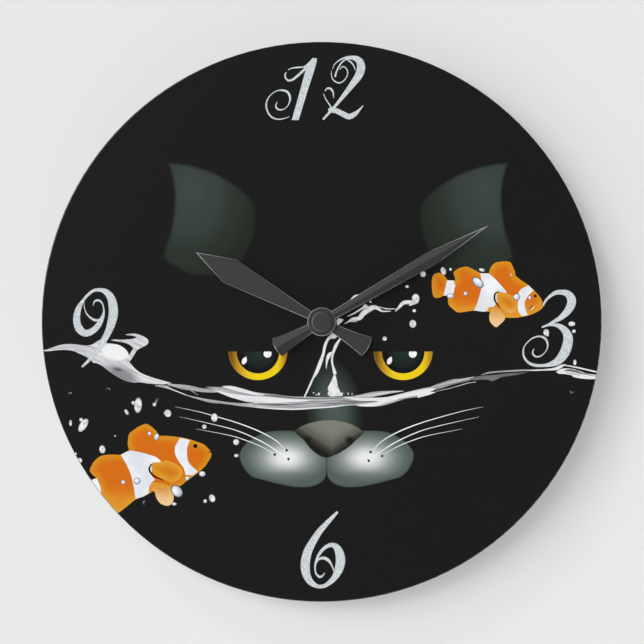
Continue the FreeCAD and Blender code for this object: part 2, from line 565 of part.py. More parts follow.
def minute_pipe():
    """Brass pipe with the cannon pinion; it carries the minute hand."""
    near = MIDDLE_PLATE[1] + PIPE_GAP
    pipe = rod(MINUTE_PIPE_R, near, MINUTE_PIPE_FAR)
    flange = rod(PIPE_FLANGE_R, near, CENTRE_LAYER[0] - FLANGE_GAP)
    pinion = gear(CANNON_TEETH, MOTION_MODULE, 0.0, CENTRE, *CANNON_LAYER)
    bore = rod(MINUTE_PIPE_BORE, MIDDLE_PLATE[1], MINUTE_PIPE_FAR + 1)
    return fused(pipe, flange, pinion).cut(bore)


def motion_wheel():
    wheel = gear(MOTION_TEETH, MOTION_MODULE, MOTION_PHASE, MOTION_AT, *MOTION_LAYER)
    pinion = gear(MOTION_PINION, HOUR_MODULE, 0.0, MOTION_AT, *MOTION_PINION_LAYER)
    bore = rod(MOTION_STUD_R + RUNNING, MOTION_LAYER[0], MOTION_PINION_LAYER[1], MOTION_AT)
    return fused(wheel, pinion).cut(bore)


def hour_wheel():
    wheel = gear(HOUR_TEETH, HOUR_MODULE, HOUR_PHASE, CENTRE, *HOUR_LAYER)
    pipe = rod(HOUR_PIPE_R, HOUR_LAYER[0], HOUR_PIPE_FAR)
    return fused(wheel, pipe).cut(rod(HOUR_PIPE_BORE, HOUR_LAYER[0], HOUR_PIPE_FAR))


def set_knob():
    """Rear setting knob, its stem and the pinion that turns the motion wheel."""
    head = rod(KNOB_R, KNOB_NEAR, KNOB_FAR, KNOB_AT)
    flutes = [rod(FLUTE_R, KNOB_NEAR, KNOB_FAR, polar(KNOB_AT, KNOB_R + FLUTE_OFFSET, 360 / KNOB_FLUTES * i))
              for i in range(KNOB_FLUTES)]
    stem = rod(KNOB_STEM_R, KNOB_FAR, CANNON_LAYER[0], KNOB_AT)
    pinion = gear(KNOB_TEETH, MOTION_MODULE, KNOB_PHASE, KNOB_AT, *CANNON_LAYER)
    pivot = rod(KNOB_PIVOT_R, CANNON_LAYER[1], CASE_FLOOR - 0.1, KNOB_AT)
    return fused(head.cut(flutes), stem, pinion, pivot)


# ================================================================ motor and circuit
LEG_HALF, STATOR_BELOW, STATOR_ABOVE = 2.0, 4.0, 3.9  # half a leg's width; reach below and above the rotor
STATOR_HOLE_R, STATOR_NOTCH_R = 2.9, 0.4
SCREW_HOLE_R, SCREW_HEAD_R, SCREW_HEAD, SCREW_FAR = 0.8, 1.3, 0.7, 10.5
SCREW_SLOT_HALF, SCREW_SLOT, SLOT_OVER = 0.15, 0.3, 0.1  # half width, depth, and the cutter's overrun


def stator():
    """Soft iron stator plate with the rotor's hole, its two positioning notches and two legs."""
    x0, x1, leg = MOTOR_SCREWS[0][0] - LEG_HALF, MOTOR_SCREWS[1][0] + LEG_HALF, 2 * LEG_HALF
    bottom, top, ends = ROTOR_AT[1] - STATOR_BELOW, ROTOR_AT[1] + STATOR_ABOVE, COIL_Z + LEG_HALF
    corners = [(x0, bottom, 1), (x1, bottom, 1), (x1, ends, 1), (x1 - leg, ends, 1),
               (x1 - leg, top, 0), (x0 + leg, top, 0), (x0 + leg, ends, 1), (x0, ends, 1)]
    plate = rounded_plate(corners, *STATOR_LAYER)
    notches = [rod(STATOR_NOTCH_R, *STATOR_LAYER, polar(ROTOR_AT, STATOR_HOLE_R, a)) for a in (55, 235)]
    screws = [rod(SCREW_HOLE_R, *STATOR_LAYER, at) for at in MOTOR_SCREWS]
    return plate.cut([rod(STATOR_HOLE_R, *STATOR_LAYER, ROTOR_AT)] + notches + screws)


COIL_FROM, COIL_TO, FLANGE = -20.6, -1.4, 0.6
COIL_R, SPOOL_FLANGE_R, SPOOL_TUBE_R = 3.0, 3.25, 2.0
CORE_HALF, CORE_OVERHANG, CORE_CORNER_R, SLOT_GAP = 1.5, 1.8, 0.8, 0.02
COIL_DEPTH = sum(CORE_LAYER) / 2


def along_x(radius, x0, x1):
    return Part.makeCylinder(radius, x1 - x0, Vector(x0, -COIL_DEPTH, COIL_Z), Vector(1, 0, 0))


def coil_core():
    x0, x1 = MOTOR_SCREWS[0][0] - CORE_OVERHANG, MOTOR_SCREWS[1][0] + CORE_OVERHANG
    core = rounded_box(x0, x1, COIL_Z - CORE_HALF, COIL_Z + CORE_HALF, CORE_CORNER_R, *CORE_LAYER)
    return core.cut([rod(SCREW_HOLE_R, *CORE_LAYER, at) for at in MOTOR_SCREWS])


def coil_bobbin():
    tube = along_x(SPOOL_TUBE_R, COIL_FROM, COIL_TO)
    flanges = [along_x(SPOOL_FLANGE_R, x, x + FLANGE) for x in (COIL_FROM, COIL_TO - FLANGE)]
    half = CORE_HALF + SLOT_GAP
    slot = slab(COIL_FROM, COIL_TO, COIL_Z - half, COIL_Z + half, CORE_LAYER[0] - SLOT_GAP,
                CORE_LAYER[1] + SLOT_GAP)
    return fused(tube, *flanges).cut(slot)


def coil_winding():
    x0, x1 = COIL_FROM + FLANGE, COIL_TO - FLANGE
    return along_x(COIL_R, x0, x1).cut(along_x(SPOOL_TUBE_R, x0, x1))


def motor_screws():
    screws = []
    for at in MOTOR_SCREWS:
        top = CORE_LAYER[0] - SCREW_HEAD
        head = rod(SCREW_HEAD_R, top, CORE_LAYER[0], at)
        reach = SCREW_HEAD_R + SLOT_OVER
        slot = slab(at[0] - reach, at[0] + reach, at[1] - SCREW_SLOT_HALF, at[1] + SCREW_SLOT_HALF,
                    top - SLOT_OVER, top + SCREW_SLOT)
        screws.append(fused(head.cut(slot), rod(SCREW_BORE_R, CORE_LAYER[0], SCREW_FAR, at)))
    return Part.makeCompound(screws)


BOARD_X, BOARD_Z, BOARD_CORNER_R = (9.2, 25.4), (14.6, 26.2), 0.6
PEG_HOLE_R = 0.55
CRYSTAL_R, CRYSTAL_LENGTH, CRYSTAL_AT = 1.0, 6.0, (13.5, 17.2)
CHIP_R, CHIP_RISE, CHIP_AT = 2.4, 0.9, (17.5, 22.2)


def circuit_board():
    board = rounded_box(*BOARD_X, *BOARD_Z, BOARD_CORNER_R, *BOARD_LAYER)
    return board.cut([rod(PEG_HOLE_R, *BOARD_LAYER, at) for at in BOARD_PEGS])


def quartz_crystal():
    """The tuning-fork crystal's can, lying on the board."""
    start = Vector(CRYSTAL_AT[0], -(BOARD_LAYER[0] - CRYSTAL_R), CRYSTAL_AT[1])
    return Part.makeCylinder(CRYSTAL_R, CRYSTAL_LENGTH, start, Vector(1, 0, 0))


def chip_blob():
    """The resin dome over the clock chip."""
    ball_r = (CHIP_R**2 + CHIP_RISE**2) / (2 * CHIP_RISE)
    ball = Part.makeSphere(ball_r, Vector(CHIP_AT[0], -(BOARD_LAYER[0] - CHIP_RISE + ball_r), CHIP_AT[1]))
    return ball.common(slab(*BOARD_X, *BOARD_Z, BOARD_LAYER[0] - CHIP_RISE - 1, BOARD_LAYER[0]))


# ================================================================ battery and contacts
STRIP = 0.3  # thickness of the contacts' sheet
LEAD = (3.0, 5.0)  # depths that the contacts' leads span
LEAF_OUTER, LEAF_INNER, LEAF_CREST = -26.4, -24.9, -24.45  # x of the spring leaf's ends, knees and crest
LEAF_REACH, LEAF_KNEE, PADDLE_HALF = 5.5, 1.5, 3.0
LEAD_Z, LEAD_X, LEAD_OVER_BOARD = TRAIN_BOTTOM + 0.7, 24.6, 2.0
PLATE_BACK, PLATE_BELOW, PLATE_HALF = 0.5, 4.0, 3.5  # the flat contact: gap to the wall, reach, half height
TAB_TOP, TAB_OVER_BOARD = 20.0, 1.5
DIMPLE_R, DIMPLE_TIP_R, DIMPLE_GAP = 1.6, 0.8, 0.05
BAY_GAP = 0.3  # from the contacts to the bay's top wall


def aa_battery():
    middle = Vector(BATTERY_FROM, -BATTERY_DEPTH, BATTERY_Z)
    can = Part.makeCylinder(BATTERY_R, BATTERY_TO - BATTERY_FROM, middle, Vector(1, 0, 0))
    can = can.makeFillet(CAN_ROUND, [e for e in can.Edges if e.isClosed()])
    nub_start = Vector(BATTERY_TO, -BATTERY_DEPTH, BATTERY_Z)
    return fused(can, Part.makeCylinder(NUB_R, NUB, nub_start, Vector(1, 0, 0)))


def negative_contact():
    """Spring leaf at the battery's flat end, led along the bay wall and up to the board."""
    leaf = [(LEAF_OUTER, BATTERY_Z - LEAF_REACH), (LEAF_INNER, BATTERY_Z - LEAF_KNEE),
            (LEAF_CREST, BATTERY_Z), (LEAF_INNER, BATTERY_Z + LEAF_KNEE),
            (LEAF_OUTER, BATTERY_Z + LEAF_REACH), (LEAF_OUTER, LEAD_Z), (LEAD_X, LEAD_Z),
            (LEAD_X, BOARD_Z[0] + LEAD_OVER_BOARD)]
    lead = strip(leaf, STRIP, *LEAD)
    near, far = BATTERY_DEPTH - PADDLE_HALF, BATTERY_DEPTH + PADDLE_HALF
    paddle = strip(leaf[:5], STRIP, near, far)
    beside = (-INNER - 1, LEAF_CREST + 1)  # the stretch of x that the leaf stands in
    shoulder = BATTERY_Z + PADDLE_HALF
    neck = strip(leaf[3:6], STRIP, LEAD[0], far)
    neck = neck.common(slab(*beside, shoulder, BAY_TOP - BAY_GAP, LEAD[0], far))
    ends = lead.cut(slab(*beside, -INNER, shoulder, LEAD[0] - 1, LEAD[1] + 1))
    return fused(paddle, neck, ends)


def positive_contact():
    """Flat contact at the battery's nub, led straight up the case wall to the board."""
    x = INNER - PLATE_BACK
    top = BAY_TOP - BAY_GAP
    plate = slab(x, x + STRIP, BATTERY_Z - PLATE_BELOW, top, BATTERY_DEPTH - PLATE_HALF,
                 BATTERY_DEPTH + PLATE_HALF)
    lead = slab(x, x + STRIP, top, TAB_TOP, *LEAD)
    tab = slab(BOARD_X[1] - TAB_OVER_BOARD, x + STRIP, TAB_TOP - STRIP, TAB_TOP, *LEAD)
    rise = x - BATTERY_TO - NUB - DIMPLE_GAP
    base = Vector(x, -BATTERY_DEPTH, BATTERY_Z)
    dimple = Part.makeCone(DIMPLE_R, DIMPLE_TIP_R, rise, base, Vector(-1, 0, 0))
    return fused(plate, lead, tab, dimple)


NODES = {
    "acrylic_disc": acrylic_disc, "printed_face": printed_face, "rubber_washer": rubber_washer,
    "brass_washer": brass_washer, "hex_nut": hex_nut, "dial_bushing": dial_bushing,
    "hour_hand": hour_hand, "minute_hand": minute_hand, "hand_cap": hand_cap,
    "movement_case": movement_case, "rear_cover": rear_cover, "rear_plate": rear_plate,
    "middle_plate": middle_plate, "hanger_bracket": hanger_bracket,
    "seconds_wheel": seconds_wheel, "third_wheel": third_wheel, "fifth_wheel": fifth_wheel,
    "rotor_pinion": rotor_pinion, "rotor_magnet": rotor_magnet, "centre_wheel": centre_wheel,
    "clutch_washer": clutch_washer, "minute_pipe": minute_pipe, "motion_wheel": motion_wheel,
    "hour_wheel": hour_wheel, "set_knob": set_knob, "stator": stator, "coil_core": coil_core,
    "coil_bobbin": coil_bobbin, "coil_winding": coil_winding, "motor_screws": motor_screws,
    "circuit_board": circuit_board, "quartz_crystal": quartz_crystal, "chip_blob": chip_blob,
    "aa_battery": aa_battery, "negative_contact": negative_contact,
    "positive_contact": positive_contact,
}


def main():
    os.makedirs("parts", exist_ok=True)
    for name, make in NODES.items():
        shape = make()
        if not shape.isValid():
            raise ValueError(f"{name} is not a valid shape")
        shape.exportStep(os.path.join("parts", name + ".step"))
        print(f"{name}: {len(shape.Solids)} solid(s), {shape.Volume:.2f} mm3")


main()
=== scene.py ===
import json
import math

import bpy
import numpy as np
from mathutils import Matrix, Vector
from mathutils.geometry import delaunay_2d_cdt


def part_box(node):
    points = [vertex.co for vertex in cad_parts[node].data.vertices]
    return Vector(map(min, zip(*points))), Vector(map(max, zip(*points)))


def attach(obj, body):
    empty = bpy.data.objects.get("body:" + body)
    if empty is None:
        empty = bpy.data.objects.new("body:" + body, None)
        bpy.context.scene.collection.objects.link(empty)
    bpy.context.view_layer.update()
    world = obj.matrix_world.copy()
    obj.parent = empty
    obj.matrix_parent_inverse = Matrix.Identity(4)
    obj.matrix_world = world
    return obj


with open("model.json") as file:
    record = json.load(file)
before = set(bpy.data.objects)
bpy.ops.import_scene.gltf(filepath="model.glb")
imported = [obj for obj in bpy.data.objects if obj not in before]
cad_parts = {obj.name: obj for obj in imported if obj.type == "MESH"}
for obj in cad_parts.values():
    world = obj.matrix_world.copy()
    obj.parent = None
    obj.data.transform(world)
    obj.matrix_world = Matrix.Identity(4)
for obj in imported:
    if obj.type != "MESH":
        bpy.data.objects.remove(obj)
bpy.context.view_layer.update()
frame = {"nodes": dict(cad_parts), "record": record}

# Round wall clock with a picture printed on its dial. CAD parts keep their shapes and get materials here;
# the picture is flat ink shapes laid on the dial. Picture places are (x, z) in millimetres from the hands'
# axis, widths are in millimetres, and colours are 8-bit sRGB.
MM = 0.001
FACE = -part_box("printed_face")[0].y  # depth of the dial's front, in metres
INK_STEP = 0.03 * MM  # one ink level stands this far in front of the one below
SHAPE_STEP = 0.05  # levels from one shape of a print to the next, so that none share a plane
STROKE_RISE = 0.006  # levels a stroke climbs in each millimetre, so that it can cross itself
DIAL_R = 136.2  # radius that the ink reaches
LOBE_LINE = 2.4  # the muzzle's line of symmetry
NOSE_LINE = 5.0  # the nose's
NOSTRIL_LINE = 3.2  # the nostrils'
WHISKER_LINE = 3.7  # the whiskers'
EAR_LINE = 8.0  # the ears'
BRIDGE = (5.9, -42.6, 14.0, 25.5, 8.0)  # the glow above the nose: x, z, radii, turn
CAP_RING, CAP_DIM = 5.6, 0.25  # radius in which the painted highlight on the hands' bevels is dimmed, and the share of it that is left
SHEEN = 0.0014  # what the dial's surface reflects on top of the ink's own colour


# ================================================================ curves
def curve(points, closed=False, spacing=0.8, most=12):
    """A smooth line through the points, as denser points; every number of a point is carried along."""
    p = np.array(points, float)
    if len(p) < 3:
        return p
    n = len(p)
    if closed:
        p = np.vstack([p[-1], p, p[:2]])
    else:
        p = np.vstack([2 * p[0] - p[1], p, 2 * p[-1] - p[-2]])
    line = []
    for i in range(1, n + 1 if closed else n):
        a, b, c, d = p[i - 1:i + 3]
        steps = int(np.clip(np.linalg.norm(c[:2] - b[:2]) / spacing, 2, most))
        for t in np.arange(steps) / steps:
            line.append(0.5 * (2 * b + (c - a) * t + (2 * a - 5 * b + 4 * c - d) * t ** 2
                               + (3 * b - a - 3 * c + d) * t ** 3))
    if not closed:
        line.append(p[-2])
    return np.array(line)


def outline(*runs):
    """A closed outline of smooth runs that meet at corners."""
    if len(runs) == 1:
        return curve(runs[0], closed=True)
    return np.vstack([curve(run) for run in runs])


def mirrored(points, line):
    """The points mirrored left to right about x = line."""
    return [(2 * line - p[0], *p[1:]) for p in points]


def ellipse(x, z, rx, rz=None, turn=0.0, count=24):
    """An ellipse's outline; turn is anticlockwise in degrees."""
    rz = rz or rx
    t = np.arange(count) / count * 2 * math.pi
    u, v = rx * np.cos(t), rz * np.sin(t)
    a = math.radians(turn)
    return np.column_stack([x + u * math.cos(a) - v * math.sin(a), z + u * math.sin(a) + v * math.cos(a)])


def within_dial(loop):
    """The outline with its points drawn in to the dial's rim."""
    loop = np.array(loop, float)
    r = np.linalg.norm(loop, axis=1)
    return loop * np.minimum(1, DIAL_R / r)[:, None]


def nearest(points, line):
    """Each point's distance from a line of points, the closest stretch and how far along it that is."""
    a, ab = line[:-1], line[1:] - line[:-1]
    t = np.einsum("pij,ij->pi", points[:, None] - a, ab) / np.maximum((ab ** 2).sum(1), 1e-12)
    t = np.clip(t, 0, 1)
    distance = np.linalg.norm(points[:, None] - (a + t[..., None] * ab), axis=2)
    best = distance.argmin(1)
    row = np.arange(len(points))
    return distance[row, best], best, t[row, best]


def edge_distance(points, loop):
    """Each point's distance from a closed outline."""
    return nearest(points, np.vstack([loop, loop[:1]]))[0]


def along_flow(points, flow):
    """Each point's distance along the flow line and across it."""
    line = curve(flow)
    distance, i, t = nearest(points, line)
    step = line[1:] - line[:-1]
    length = np.linalg.norm(step, axis=1)
    run = np.concatenate([[0], np.cumsum(length)])
    off = points - line[i]
    side = np.sign(step[i, 0] * off[:, 1] - step[i, 1] * off[:, 0])
    return np.column_stack([run[i] + t * length[i], side * distance])


def inside(points, loop):
    """Which points lie inside the outline."""
    x, z = points[:, 0, None], points[:, 1, None]
    a, b = loop, np.roll(loop, -1, axis=0)
    rise = np.where(b[:, 1] == a[:, 1], 1e-12, b[:, 1] - a[:, 1])
    crosses = ((a[:, 1] > z) != (b[:, 1] > z)) & (x < a[:, 0] + (b[:, 0] - a[:, 0]) * (z - a[:, 1]) / rise)
    return crosses.sum(1) % 2 == 1


class Print:
    """One piece of the printed picture: flat shapes of one material, joined in one mesh.
    UV holds (distance from the outline, 0) in a filled shape, or (along, across) the flow where it has one,
    (distance along, -1 to 1 across) in a ribbon, and (-1 to 1, -1 to 1) in a drop."""

    least = 0.28  # a ribbon's least width
    cap = (35, 65, 85)  # angles of the points that round a ribbon's end
    rings = (0.5, 0.8, 1.0)  # a drop's rings of points, as shares of its outline
    pieces = []  # every print, in the order in which they are made

    def __init__(self, name, paint, level, origin=(0.0, 0.0)):
        self.name, self.paint, self.level, self.origin = name, paint, level, origin
        self.points, self.faces, self.uvs, self.levels, self.shapes = [], [], [], [], 0
        self.pieces.append(self)

    def add(self, points, faces, uvs, rises=0.0):
        start = len(self.points)
        self.points += [tuple(p) for p in points]
        self.uvs += [tuple(uv) for uv in uvs]
        self.levels += list(self.level + self.shapes * SHAPE_STEP + rises * np.ones(len(points)))
        self.shapes += 1
        self.faces += [tuple(start + i for i in face) for face in faces]

    def fill(self, loop, grid=0.0, flow=None):
        """A filled outline. With a grid spacing it gets inner points, so that shading can follow its edge."""
        loop = within_dial(loop)
        points = loop
        if grid:
            low, high = loop.min(0), loop.max(0)
            xs, zs = np.arange(low[0], high[0], grid), np.arange(low[1], high[1], grid)
            lattice = np.array([(x, z) for x in xs for z in zs])
            lattice = lattice[inside(lattice, loop)]
            lattice = lattice[edge_distance(lattice, loop) > grid / 3]
            points = np.vstack([loop, lattice])
        edges = [(i, (i + 1) % len(loop)) for i in range(len(loop))]
        made = delaunay_2d_cdt([Vector(p) for p in points], edges, [], 1, 1e-6)
        flat = np.array([tuple(v) for v in made[0]])
        if flow is not None:
            uvs = along_flow(flat, flow)
        else:
            distance = edge_distance(flat, loop) if grid else np.zeros(len(flat))
            uvs = np.column_stack([distance, np.zeros(len(flat))])
        self.add(flat, made[2], uvs)

    def shape(self, *runs, grid=0.0):
        """A filled outline of smooth runs."""
        self.fill(outline(*runs), grid)

    def ribbon(self, path):
        """A stroke along (x, z, width) points with rounded ends."""
        line = curve(path, spacing=0.6)
        line[:, 2] = np.maximum(line[:, 2], self.least)
        along = np.gradient(line[:, :2], axis=0)
        along /= np.maximum(np.linalg.norm(along, axis=1), 1e-9)[:, None]
        caps = []
        for end, sign in ((0, -1), (-1, 1)):
            width, d = line[end, 2], along[end]
            cap = [(line[end, :2] + sign * d * (width / 2) * math.sin(a), width * math.cos(a), d)
                   for a in np.radians(self.cap)]
            caps.append(cap if sign > 0 else cap[::-1])
        rows = caps[0] + [(p[:2], p[2], d) for p, d in zip(line, along)] + caps[1]
        points, uvs, run = [], [], 0.0
        for i, (p, width, d) in enumerate(rows):
            run += np.linalg.norm(p - rows[i - 1][0]) if i else 0.0
            side = np.array([-d[1], d[0]]) * width / 2
            for across in (1, 0, -1):
                points.append(p + side * across)
                uvs.append((run, across))
        faces = []
        for i in range(len(rows) - 1):
            for k in range(2):
                a = 3 * i + k
                faces.append((a, a + 1, a + 4, a + 3))
        self.add(points, faces, uvs, STROKE_RISE * np.array(uvs)[:, 0])

    def strokes(self, *paths):
        for path in paths:
            self.ribbon(path)

    def drop(self, x, z, rx, rz=None, turn=0.0, taper=0.0):
        """An oval drop, drawn to a point at its top by taper."""
        unit = ellipse(0, 0, 1.0, count=28)
        shape = unit.copy()
        shape[:, 0] *= 1 - taper * np.clip(unit[:, 1], 0, 1) ** 1.5
        a = math.radians(turn)
        rz = rz or rx
        points, uvs = [(x, z)], [(0.0, 0.0)]
        for ring in self.rings:
            for u, v in shape * ring:
                points.append((x + u * rx * math.cos(a) - v * rz * math.sin(a),
                               z + u * rx * math.sin(a) + v * rz * math.cos(a)))
            uvs += [tuple(p) for p in unit * ring]
        n = len(unit)
        faces = [(0, 1 + i, 1 + (i + 1) % n) for i in range(n)]
        for start in range(1, 1 + n * (len(self.rings) - 1), n):
            for i in range(n):
                j = (i + 1) % n
                faces.append((start + i, start + n + i, start + n + j, start + j))
        self.add(points, faces, uvs)

    def drops(self, *places):
        for place in places:
            self.drop(*place)

    def make(self):
        """Makes the piece. All of its faces look away from the wall."""
        ox, oz = self.origin
        mesh = bpy.data.meshes.new(self.name)
        mesh.from_pydata([((x - ox) * MM, -FACE - level * INK_STEP, (z - oz) * MM)
                          for (x, z), level in zip(within_dial(self.points), self.levels)], [], self.faces)
        mesh.update()
        layer = mesh.uv_layers.new(name="ink")
        for loop in mesh.loops:
            layer.data[loop.index].uv = self.uvs[loop.vertex_index]
        for polygon in [p for p in mesh.polygons if p.normal.y > 0]:
            polygon.flip()
        mesh.materials.append(self.paint)
        piece = bpy.data.objects.new(self.name, mesh)
        piece.location = (ox * MM, 0, oz * MM)
        bpy.context.scene.collection.objects.link(piece)
        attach(piece, "clock")


# ================================================================ materials
def tone(r, g, b):
    """The linear colour of an 8-bit sRGB one."""
    return tuple(v / 12.92 if v <= 0.04045 else ((v + 0.055) / 1.055) ** 2.4
                 for v in (r / 255, g / 255, b / 255)) + (1.0,)


def printed(r, g, b):
    """The linear colour of ink that looks like the 8-bit sRGB one under the dial's sheen."""
    return tuple(max(v - SHEEN, 0.0) for v in tone(r, g, b)[:3]) + (1.0,)


BLACK = (30, 30, 30)


class Paint:
    """A node material on one Principled shader."""

    linear = staticmethod(tone)

    def __init__(self, name, **sockets):
        self.material = bpy.data.materials.new(name)
        self.material.use_nodes = True
        self.tree = self.material.node_tree
        self.shader = self.tree.nodes["Principled BSDF"]
        for key, value in sockets.items():
            self.shader.inputs[key.replace("_", " ")].default_value = value

    def add(self, kind, inputs=(), out=0, **settings):
        """A new node; inputs are (socket, value or output) pairs. Returns one output."""
        node = self.tree.nodes.new("ShaderNode" + kind)
        for key, value in settings.items():
            setattr(node, key, value)
        for key, value in inputs:
            if isinstance(value, bpy.types.NodeSocket):
                self.tree.links.new(value, node.inputs[key])
            else:
                node.inputs[key].default_value = value
        return node.outputs[out]

    def where(self, out="Object"):
        return self.add("TexCoord", out=out)

    def place(self, source, scale=(1, 1, 1), at=(0, 0, 0), turn=(0, 0, 0), kind="POINT"):
        sockets = [("Vector", source), ("Location", at), ("Rotation", turn), ("Scale", scale)]
        return self.add("Mapping", sockets, vector_type=kind)

    def axis(self, source, name):
        return self.add("SeparateXYZ", [(0, source)], out=name)

    def math(self, operation, a, b=0.0, clamp=False):
        return self.add("Math", [(0, a), (1, b)], operation=operation, use_clamp=clamp)

    def length(self, source):
        return self.add("VectorMath", [(0, source)], out="Value", operation="LENGTH")

    def noise(self, scale, detail=4.0, roughness=0.55, distortion=0.0, source=None):
        return self.add("TexNoise", [("Vector", source or self.where()), ("Scale", scale), ("Detail", detail),
                                     ("Roughness", roughness), ("Distortion", distortion)])

    def folded(self, line):
        """Object coordinates mirrored about x = line: X counts outwards from it."""
        place = self.where()
        across = self.math("ABSOLUTE", self.math("SUBTRACT", self.axis(place, "X"), line * MM))
        return self.add("CombineXYZ", [("X", across), ("Z", self.axis(place, "Z"))])

    def radial(self, x, z, rx, rz=None, turn=0.0, source=None):
        """0 at (x, z) rising to 1 on an ellipse, all in millimetres and seen from the front."""
        radii = (rx * MM, 1000.0, (rz or rx) * MM)
        return self.length(self.place(source or self.where(), radii, (x * MM, 0, z * MM),
                                      (0, -math.radians(turn), 0), "TEXTURE"))

    def span(self, width):
        """0 to 1 from left to right across a width in millimetres, about the origin."""
        return self.math("ADD", self.math("MULTIPLY", self.axis(self.where(), "X"), 1 / (width * MM)), 0.5)

    def fade(self, factor, low, high):
        """0 at low to 1 at high, smooth; low may be the greater."""
        return self.add("MapRange", [("Value", factor), ("From Min", low), ("From Max", high)],
                        interpolation_type="SMOOTHSTEP")

    def edge(self, low, high):
        """The fade from a filled shape's outline inwards, in millimetres."""
        return self.fade(self.axis(self.where("UV"), "X"), low, high)

    def side(self, low, high):
        """The fade from a ribbon's middle, 0, to its sides, 1."""
        return self.fade(self.math("ABSOLUTE", self.axis(self.where("UV"), "Y")), low, high)

    def ramp(self, factor, *stops, ease=False):
        """The colour between (position, r, g, b) stops."""
        node = self.add("ValToRGB", [("Fac", factor)]).node
        node.color_ramp.interpolation = "EASE" if ease else "LINEAR"
        elements = node.color_ramp.elements
        while len(elements) < len(stops):
            elements.new(0.5)
        for element, (position, *colour) in zip(elements, sorted(stops)):
            element.position = position
            element.color = self.linear(*colour)
        return node.outputs["Color"]

    def mix(self, factor, a, b, share=1.0):
        """From a to b by a share of the factor; each is an output or an (r, g, b) colour."""
        if share < 1:
            factor = self.math("MULTIPLY", factor, share)
        a, b = (self.linear(*end) if isinstance(end, tuple) else end for end in (a, b))
        return self.add("Mix", [(0, factor), (6, a), (7, b)], out=2, data_type="RGBA")

    def bump(self, height, strength, depth):
        """Relief, with its depth in millimetres."""
        bump = self.add("Bump", [("Height", height), ("Strength", strength), ("Distance", depth * MM)])
        self.tree.links.new(bump, self.shader.inputs["Normal"])

    def rough(self, factor, low, high):
        """Roughness varying between low and high."""
        value = self.add("MapRange", [("Value", factor), ("To Min", low), ("To Max", high)])
        self.tree.links.new(value, self.shader.inputs["Roughness"])

    def colour(self, output):
        """Gives the material its colour and returns it."""
        self.tree.links.new(output, self.shader.inputs["Base Color"])
        return self.material


class Ink(Paint):
    """The printed surface shared by the dial and its picture."""

    linear = staticmethod(printed)

    def __init__(self, name):
        super().__init__(name, Specular_IOR_Level=0.15)
        self.rough(self.noise(700.0, 3.0), 0.18, 0.24)

    def streaks(self, scale):
        """Noise drawn out along the flow."""
        return self.noise(1.0, 5.0, 0.6, 0.4, self.place(self.where("UV"), scale))


def dial_black():
    paint = Ink("dial_black")
    return paint.colour(paint.mix(paint.noise(2500.0, 2.0), (28, 28, 28), (32, 32, 32)))


def ear_ink():
    """Grey-green fur, brightest near the top outer corner, that fades towards the dial's black."""
    paint = Ink("ear_ink")
    glow = paint.ramp(paint.radial(72.0, 64.0, 31.0, 44.0, source=paint.folded(EAR_LINE)), (0.0, 63, 72, 70),
                      (0.4, 57, 66, 62), (0.75, 46, 53, 47), (1.0, 39, 45, 39), ease=True)
    return paint.colour(paint.mix(paint.edge(-0.6, 1.8), BLACK, glow))


def bridge_ink():
    """The glow above the nose."""
    paint = Ink("bridge_ink")
    return paint.colour(paint.ramp(paint.radial(*BRIDGE), (0.0, 80, 94, 89), (0.4, 69, 80, 76),
                                   (0.72, 47, 55, 51), (1.0, *BLACK)))


def muzzle_ink():
    """Soft white lobes."""
    paint = Ink("muzzle_ink")
    place = paint.folded(LOBE_LINE)
    lobe = paint.radial(19.6, -66.4, 21.0, 12.6, source=place)
    glow = paint.ramp(lobe, (0.0, 238, 238, 240), (0.18, 228, 229, 231), (0.35, 196, 199, 199),
                      (0.52, 154, 161, 158), (0.7, 120, 131, 126), (0.86, 97, 109, 103), (1.0, 84, 97, 90))
    below = paint.fade(paint.radial(18.0, -79.0, 17.0, 6.6, source=place), 1.1, 0.7)
    shaded = paint.mix(below, glow, (86, 98, 92), 0.4)
    return paint.colour(paint.mix(paint.edge(-0.8, 1.4), (62, 76, 70), shaded))


def nose_ink():
    """Light at the top, falling to black along both lower sides."""
    paint = Ink("nose_ink")
    place = paint.folded(NOSE_LINE)
    lean = paint.math("MULTIPLY", paint.axis(place, "X"), 0.62)
    drop = paint.math("SUBTRACT", paint.axis(place, "Z"), lean)
    fall = paint.add("MapRange", [("Value", drop), ("From Min", -66.5 * MM), ("From Max", -48.5 * MM)])
    skin = paint.ramp(fall, (0.0, 30, 33, 29), (0.05, 37, 40, 35), (0.2, 66, 65, 58), (0.3, 94, 94, 87),
                      (0.42, 105, 104, 94), (0.52, 117, 117, 107), (0.7, 124, 124, 114), (1.0, 126, 128, 119))
    nostril = paint.fade(paint.radial(10.9, -58.1, 4.3, 3.0, -35.0, paint.folded(NOSTRIL_LINE)), 1.0, 0.25)
    skin = paint.mix(nostril, skin, (31, 31, 28))
    return paint.colour(paint.mix(paint.edge(-0.5, 0.7), (58, 57, 52), skin))


def iris_ink():
    """Gold ring, dark at its left end and bright round the bottom; each eye has its own origin."""
    paint = Ink("iris_ink")
    gold = paint.ramp(paint.span(29), (0.0, 104, 75, 27), (0.06, 110, 79, 25),
                      (0.11, 152, 110, 33), (0.19, 196, 150, 40), (0.33, 230, 199, 44), (0.48, 239, 207, 29),
                      (0.82, 235, 205, 28), (0.9, 212, 171, 32), (0.94, 184, 138, 38), (1.0, 158, 120, 36))
    gold = paint.mix(paint.noise(900.0, 3.0), gold, (236, 186, 50), 0.08)
    return paint.colour(paint.mix(paint.side(0.8, 1.0), gold, (190, 152, 60), 0.4))


def pupil_ink():
    paint = Ink("pupil_ink")
    return paint.colour(paint.ramp(paint.radial(0.6, -1.0, 9.6, 9.2), (0.0, 38, 52, 48), (0.5, 34, 43, 40),
                                   (1.0, 24, 24, 25), ease=True))


